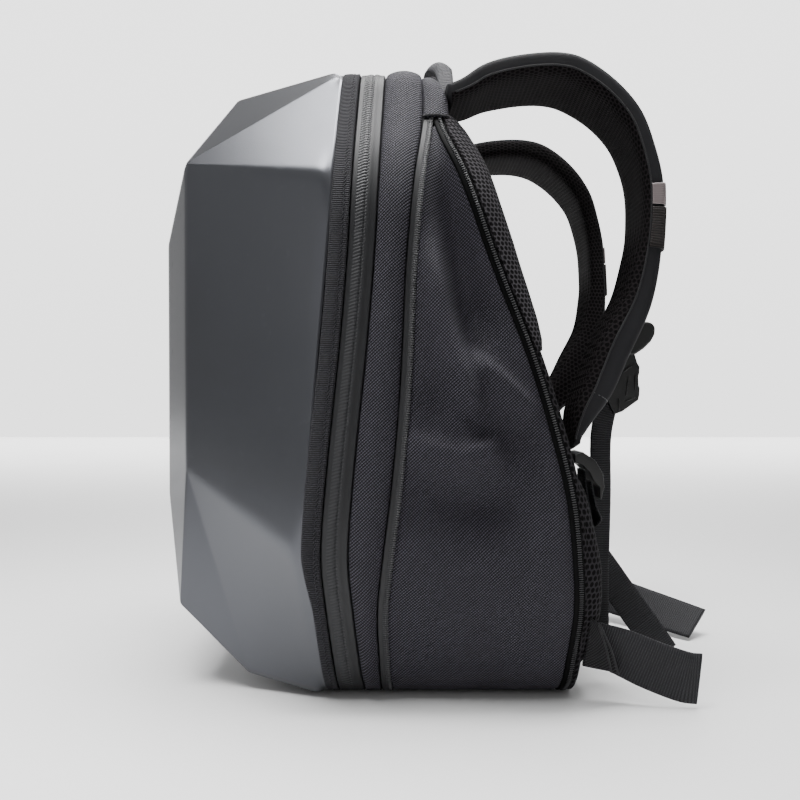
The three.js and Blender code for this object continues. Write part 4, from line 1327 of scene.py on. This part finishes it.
def padded_strap(name, side, node):
    """One strap: a tube closed at both ends, in two finishes."""
    at, _, across, out, width, thick = strap_frame(side, STRAP_STEPS)
    wide, high = strap_section(STRAP_RING)
    length = walked(at)
    ease = 1 - 0.02 * np.sin(length / 9.0) - 0.015 * np.sin(length / 23.0)
    way_round = walked(np.stack([width.mean() * wide, thick.mean() * high], axis=1))
    round_edge = np.where(high < -1e-6, 2 * way_round[STRAP_RING // 2] - way_round, way_round)
    lift = (thick * ease)[:, None] * high + pleated(length, high, round_edge)
    sideways = across[:, None] * (width[:, None] * wide)[..., None]
    points = at[:, None] + sideways + out[:, None] * lift[..., None]
    ends = [points[0].mean(axis=0), points[-1].mean(axis=0)]
    flat = points.reshape(-1, 3)
    rings, around, faces = tube_faces(STRAP_STEPS, STRAP_RING)
    first, last = len(flat), len(flat) + 1
    faces += [(first, b, a) for a, b in zip(rings[0], around[0])]
    faces += [(last, a, b) for a, b in zip(rings[-1], around[-1])]
    across_cloth = width[:, None] / width.mean() * round_edge
    lengths = np.stack(np.broadcast_arrays(length[:, None], across_cloth), axis=2).reshape(-1, 2)
    lengths = np.concatenate([lengths, [[0, 0], [length[-1], 0]]])
    points = np.concatenate([flat, ends])
    piece = add_piece(name, points, faces, lengths, STRAP_CLOTH)
    piece.data.materials.append(MESH)
    inside = np.tile(high > seam_level(wide, side), STRAP_STEPS - 1)
    index = np.zeros(len(piece.data.polygons), np.int32)
    index[:len(inside)] = inside
    piece.data.polygons.foreach_set("material_index", index)
    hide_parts(node)


SIDES = ((1, "right"), (-1, "left"))
for side, name in SIDES:
    padded_strap(f"strap_{name}", side, f"shoulder_strap_{name}")

# %% [markdown]
# Cords and bar tacks
# A thin cord finishes each seam of the straps and each hem of the cap, and a row of stitches, a bar tack,
# holds each strap towards its tip. A curve with a round bevel would make the cords too, but its map runs from
# 0 to 1, and the finishes here want millimetres. So a small ring of points is carried along each line.

# %% Hems of the cap
CORD_SIDES = 7


def cord(name, line, radius, material):
    """A round cord along points."""
    line = np.asarray(line, float)
    along = unit(np.gradient(line, axis=0))
    helper = np.where(np.abs(along[:, 2:]) < 0.8, [[0, 0, 1]], [[1, 0, 0]])
    side = unit(np.cross(along, helper))
    up = np.cross(along, side)
    turn = np.linspace(0, 2 * np.pi, CORD_SIDES, endpoint=False)
    ring = side[:, None] * np.cos(turn)[None, :, None] + up[:, None] * np.sin(turn)[None, :, None]
    points = (line[:, None] + radius * ring).reshape(-1, 3)
    rings, _, faces = tube_faces(len(line), CORD_SIDES)
    faces += [rings[0][::-1].tolist(), rings[-1].tolist()]
    lengths = np.stack(np.broadcast_arrays(walked(line)[:, None], turn * radius), axis=2).reshape(-1, 2)
    add_piece(name, points, faces, lengths, material)


HEM_RADIUS, HEM_LIFT = 0.9, 0.3
hem_t = np.linspace(0.1, 0.97, 24)
for row, name in ((0, "left"), (-1, "right")):
    z = cap_run.z[row]
    front, back = behind_band(z), cap_back(z)
    out = stuffed(CAP_PUFF)(hem_t, cap_run.along[row]) + HEM_LIFT
    x = cap_run.x[row] + cap_run.out_x[row] * out
    line = np.stack([x, front + (back - front) * hem_t, z + cap_run.out_z[row] * out], axis=1)
    cord(f"cap_hem_{name}", line, HEM_RADIUS, THREAD)

# %% Seams and bar tacks on the straps
SEAM_RADIUS, SEAM_LIFT = 0.8, 0.1
BAR_TACK, TACK_LIFT = 0.85, 0.15
TACK_TURNS = np.linspace(-0.9, 0.12, 9)
TACK_STITCH = (0.9, 0.35, 0.35)


def seam_turn(place):
    """The angle round the section at which it reaches a place in its thickness."""
    return math.copysign(math.asin(abs(place / 0.5)**(1 / FACE_POWER)), place)


def strap_point(strap, step, turn, grow):
    """A point on a strap's surface, lifted a little."""
    at, _, across, out, width, thick = strap
    wide, high = bar_point(turn)
    sideways = across[step] * (width[step] + 2 * grow) * wide
    return at[step] + sideways + out[step] * (thick[step] + 2 * grow) * high


OUTER_TURN, INNER_TURN = seam_turn(OUTER_SEAM), seam_turn(INNER_SEAM)
for side, name in SIDES:
    strap = strap_frame(side, STRAP_STEPS)
    turns = (OUTER_TURN, INNER_TURN) if side > 0 else (INNER_TURN, OUTER_TURN)
    for edge, turn in (("a", turns[0]), ("b", math.pi - turns[1])):
        line = [strap_point(strap, step, turn, SEAM_LIFT) for step in range(2, STRAP_STEPS - 2)]
        cord(f"strap_seam_{name}_{edge}", line, SEAM_RADIUS, PIPING)
    step = int(BAR_TACK * (STRAP_STEPS - 1))
    tack_turns = TACK_TURNS if side > 0 else math.pi - TACK_TURNS
    line = np.array([strap_point(strap, step, turn, TACK_LIFT) for turn in tack_turns])
    along = unit(np.gradient(line, axis=0))
    ways_out = np.cross(along, np.broadcast_to(strap[1][step], line.shape))
    beads(f"bar_tack_{name}", line, along, ways_out, TACK_STITCH, TOOTH)

# %% [markdown]
# Keeper tapes and reflective tabs
# A little past half way down each strap a ribbed keeper tape goes round the cloth, and a reflective tab lies
# above it. They could be cut from flat strips and bent, but the strap's own section already has the right
# curve. So each is the part of the section that the cloth covers, grown a little and carried a short way.

# %% Tapes round the straps
TAB, KEEPER = (0.539, 0.576, 1.2), (0.581, 0.65, 1.6)  # start and end in parts of the strap, thickness
WRAP_STEPS, WRAP_ROWS, WRAP_RING = 400, 14, 160


def strap_wrap(name, side, place, material, slot, node):
    """A tape round the cloth of a strap, from seam to seam, over part of its length."""
    start, end, thickness = place
    at, _, across, out, width, thick = strap_frame(side, WRAP_STEPS)
    rows = np.linspace(start * (WRAP_STEPS - 1), end * (WRAP_STEPS - 1), WRAP_ROWS).astype(int)
    wide, high = strap_section(WRAP_RING)
    keep = np.flatnonzero(high < seam_level(wide, side))
    breaks = np.flatnonzero(np.diff(keep) > 1)
    if len(breaks):
        keep = np.roll(keep, -int(breaks[0]) - 1)
    wide, high = wide[keep], high[keep]
    faces = []
    for grow in (GAP + thickness, GAP):
        w, t = width[rows] + 2 * grow, thick[rows] + 2 * grow
        faces.append(at[rows][:, None] + across[rows][:, None] * (w[:, None] * wide)[..., None]
                     + out[rows][:, None] * (t[:, None] * high)[..., None])
    piece = wall(name, *faces, walked(at[rows]), width[rows][:, None] * wide, material, slot)
    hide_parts(node)


for side, name in SIDES:
    strap_wrap(f"tab_{name}", side, TAB, REFLECTIVE, "reflective", f"reflective_tab_{name}")
    strap_wrap(f"keeper_{name}", side, KEEPER, BROWN_TAPE, "webbing", f"strap_tape_{name}")

# %% [markdown]
# The hardware
# The ladder locks, the chest buckle and its sliders are moulded and rigid. The solids of the locks have the
# right shape, so they stay, and modifiers round their edges. The buckle halves and the sliders show their
# sides, so each is made anew as a side outline with a thickness. A box would not follow their curves.
# Raised bars are laid on the buckle's outer face.

# %% Locks that stay
LOCK_EDGE, LOCK_ANGLE, LOCK_SEGMENTS = 0.9, 20, 2
LOCK_WELD = 0.02


def rounded_lock(node):
    """A rigid solid with its edges rounded and its finish put on."""
    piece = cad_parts[node]
    piece.data.materials.clear()
    piece.data.materials.append(BUCKLE_PLASTIC)
    weld = piece.modifiers.new("weld", "WELD")
    weld.merge_threshold = LOCK_WELD * MM
    bevel = piece.modifiers.new("bevel", "BEVEL")
    bevel.width = LOCK_EDGE * MM
    bevel.segments = LOCK_SEGMENTS
    bevel.limit_method = "ANGLE"
    bevel.angle_limit = math.radians(LOCK_ANGLE)
    normals = piece.modifiers.new("normals", "WEIGHTED_NORMAL")
    normals.keep_sharp = False
    for polygon in piece.data.polygons:
        polygon.use_smooth = True
    print(node, "edges rounded by", LOCK_EDGE, "mm")


for _, name in SIDES:
    rounded_lock(f"ladder_lock_{name}")

# %% Chest buckle and its slider
CHEST_X = 84
LEFT_CHEST = (9.5, -5.6)  # how far back and up the left half hangs from the right one's place
BUCKLE_HALF, SLIDER_HALF = 4.5, 6  # half thickness
BUCKLE = [(146.6, 263.6), (149.0, 255.6), (150.9, 252.4), (150.6, 247.6), (149.8, 244.4), (150.1, 237.2),
          (151, 235.6), (150.6, 230), (149.8, 226), (137, 216.8), (130.6, 214.5), (126, 223), (124.5, 238),
          (129, 248.4), (134, 256.4), (139, 264.5)]
SLIDER = [(156.5, 288.5), (161, 287), (163, 283.5), (162.6, 278), (159.4, 272.4), (153.8, 266.8),
          (146, 261.5), (136, 262), (138, 275), (146, 287)]
BAR_HEIGHT = 1.2
BUCKLE_BARS = [  # y, z, half length, half width of raised bars on the outer face, and their lean in degrees
    (146.8, 240.0, 7.5, 0.9, 88),
    (140.5, 236.5, 8.0, 0.8, 84),
    (141.5, 251.5, 5.5, 1.0, 40),
    (134.0, 222.5, 6.0, 1.1, 92),
    (143.0, 226.5, 5.0, 0.8, 20),
]


def slab(name, outline, x0, x1, edge):
    """A flat outline in y and z, as thick as x0 to x1, with rounded edges."""
    count = len(outline)
    points = [(x, y, z) for x in (x0, x1) for y, z in outline]
    faces = [list(range(count))[::-1], list(range(count, 2 * count))]
    faces += [[k, (k + 1) % count, count + (k + 1) % count, count + k] for k in range(count)]
    piece = add_piece(name, points, faces, [(y, z) for _, y, z in points], BUCKLE_PLASTIC)
    make_consistent(piece)
    bevel = piece.modifiers.new("round_edges", "BEVEL")
    bevel.width = edge * MM
    bevel.segments = 3
    bevel.limit_method = "ANGLE"
    bevel.angle_limit = math.radians(25)
    piece.modifiers.new("even_shading", "WEIGHTED_NORMAL")
    return piece


for side, name in SIDES:
    dy, dz = LEFT_CHEST if side < 0 else (0, 0)
    buckle_line, slider_line = ([(y + dy, z + dz) for y, z in outline] for outline in (BUCKLE, SLIDER))
    near, far = side * (CHEST_X + BUCKLE_HALF), side * (CHEST_X - BUCKLE_HALF)
    body = slab(f"buckle_{name}", buckle_line, far, near, 1.0)
    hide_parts(f"sternum_buckle_{name}")
    inner, outer = side * (CHEST_X - SLIDER_HALF), side * (CHEST_X + SLIDER_HALF)
    slider = slab(f"slider_{name}", slider_line, inner, outer, 2.0)
    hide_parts(f"sternum_slider_{name}")
    for k, (y, z, length, half, lean) in enumerate(BUCKLE_BARS):
        centre = np.array([[near, y + dy, z + dz]], float)
        way = np.array([[0, math.cos(math.radians(lean)), math.sin(math.radians(lean))]])
        out = np.array([[side, 0.0, 0.0]])
        size = (length, half, BAR_HEIGHT)
        beads(f"buckle_bar_{name}_{k}", centre, way, out, size, BUCKLE_PLASTIC)

# %% [markdown]
# The belt wings
# A small piped triangle of cloth joins the waist belt to each lower corner of the back board. A flat plane
# would be enough, but it would look like card. So it is a wall with two faces, a little fuller in the middle,
# and a piping runs along its free edge and another beside it.

# %% Belt wings
WING = [  # a point at the board and one at the free edge, from the top down
    ((139.2, 99.3, 67), (139.4, 106, 62)),
    ((132.6, 98.3, 46), (134.8, 115, 43)),
    ((125.4, 96.7, 27), (129.3, 122, 23)),
]
WING_THICKNESS = 3
WING_ROWS, WING_COLUMNS, WING_LENGTH = 25, 17, 20
PIPING_PLACES = (1.0, 0.8)


def belt_wing(name, side, node):
    """One wing with its piping."""
    roots, tips = (np.array([row[k] for row in WING], float) for k in (0, 1))
    u = np.linspace(0, 2, WING_ROWS)
    root, tip = (np.stack([np.interp(u, [0, 1, 2], ends[:, k]) for k in range(3)], axis=1)
                 for ends in (roots, tips))
    t = np.linspace(0, 1, WING_COLUMNS)[None, :, None]
    middle = root[:, None] + (tip - root)[:, None] * t
    rounding = np.sin(np.pi * t[0, :, 0])[None, :]**0.4 * np.sin(np.pi * u / 2)[:, None]**0.3
    outer, inner = middle.copy(), middle.copy()
    outer[..., 0] += 0.6 * rounding - 0.3
    inner[..., 0] -= WING_THICKNESS
    for face in (outer, inner):
        face[..., 0] *= side
    along, across = u * WING_LENGTH, t[..., 0] * WING_LENGTH
    piece = wall(name, outer, inner, along, across, WING_TWILL, "strap_cloth")
    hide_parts(node)
    for k, place in enumerate(PIPING_PLACES):
        line = (root + (tip - root) * place) * np.array([side, 1, 1]) + np.array([0.4 * side, 0, 0])
        cord(f"{name}_piping_{k}", line, SEAM_RADIUS, PIPING)


for side, name in SIDES:
    belt_wing(f"wing_{name}", side, f"belt_wing_{name}")

# %% [markdown]
# Floor, light and camera
# The bag stands on a plain pale floor. Two soft lamps overhead, one over the back and one in front, light the
# upper facet, the tops of the bands and the folds. A weak lamp in front opens the shadows, and a broad one
# beyond the bag whitens the far floor. The room gives the rest: it is dim, with a white far wall. An image of
# a studio could light it too, but a few numbers are easier to change.
# The camera is level and looks at the bag's side, as the photo does.

# %% Floor and lights
def floor_finish():
    material, wire = new_finish("pale_floor")
    soft = patches(wire, 400, 2.0)
    close_finish(wire, mixed(soft, (0.70, 0.70, 0.70), (0.74, 0.74, 0.74)), 0.6 + soft * 0.1)
    return material


bpy.ops.mesh.primitive_plane_add(size=8, location=(0, 0, -0.0005))
floor = bpy.context.object
floor.name = "floor"
floor.data.materials.append(floor_finish())


LAMPS = [  # name, place, the point it faces, size, watts, spread in degrees
    ("overhead", (0.05, 0.15, 1.6), (0.05, 0.15, 0), (0.8, 0.5), 14, 100),
    ("front_top", (0.44, -0.52, 1.6), (0.44, -0.52, 0), (0.6, 0.7), 11, 80),
    ("front_fill", (1.5, -1.4, 0.6), (0, 0, 0.2), (0.8, 0.8), 2, 180),
    ("far_floor", (-3.4, 0, 3.0), (-3.4, 0, 0), (8, 4), 420, 80),
]
for name, place, target, size, power, spread in LAMPS:
    light = bpy.data.lights.new(name, "AREA")
    light.shape = "RECTANGLE"
    light.size, light.size_y = size
    light.energy = power
    light.spread = math.radians(spread)
    lamp = bpy.data.objects.new(name, light)
    bpy.context.scene.collection.objects.link(lamp)
    lamp.location = place
    x, y, z = np.array(target, float) - np.array(place, float)
    lamp.rotation_euler = (math.atan2(math.hypot(x, y), -z), 0, math.atan2(y, x) - math.pi / 2)


def pale_room():
    """A dim room with a white far wall and a grey one in front; the light depends on the direction alone."""
    world = bpy.data.worlds.new("pale_room")
    bpy.context.scene.world = world
    world.use_nodes = True
    tree = world.node_tree
    tree.nodes.clear()
    way = Wire(tree, None).node("ShaderNodeTexCoord")
    sideways = way.node("ShaderNodeSeparateXYZ", (), {0: way})
    depth, height = sideways.sibling(1), sideways.sibling(2)
    ceiling = height.ramp(0.0, 0.4) * 0.27
    far_wall = sideways.ramp(-0.72, -0.8) * 2.3
    front_wall = depth.ramp(-0.6, -0.9) * 0.27
    strength = 0.12 + ceiling + far_wall + front_wall
    background = way.node("ShaderNodeBackground", (), {"Color": (1, 1, 1, 1), "Strength": strength})
    background.node("ShaderNodeOutputWorld", (), {"Surface": background})


pale_room()

# %% Camera
LENS, SENSOR = 34.6, 36
camera = bpy.data.cameras.new("photo_camera")
camera.lens = LENS
camera.sensor_width = SENSOR
camera_object = bpy.data.objects.new("photo_camera", camera)
bpy.context.scene.collection.objects.link(camera_object)
camera_object.location = (0.700, -0.040, 0.226)
camera_object.rotation_euler = (math.pi / 2, 0, math.pi / 2)
bpy.context.scene.camera = camera_object
print("camera stands at", [round(part, 3) for part in camera_object.location])

# %% [markdown] The finished bag The cloth may stand a little way out of the solids, and no more.
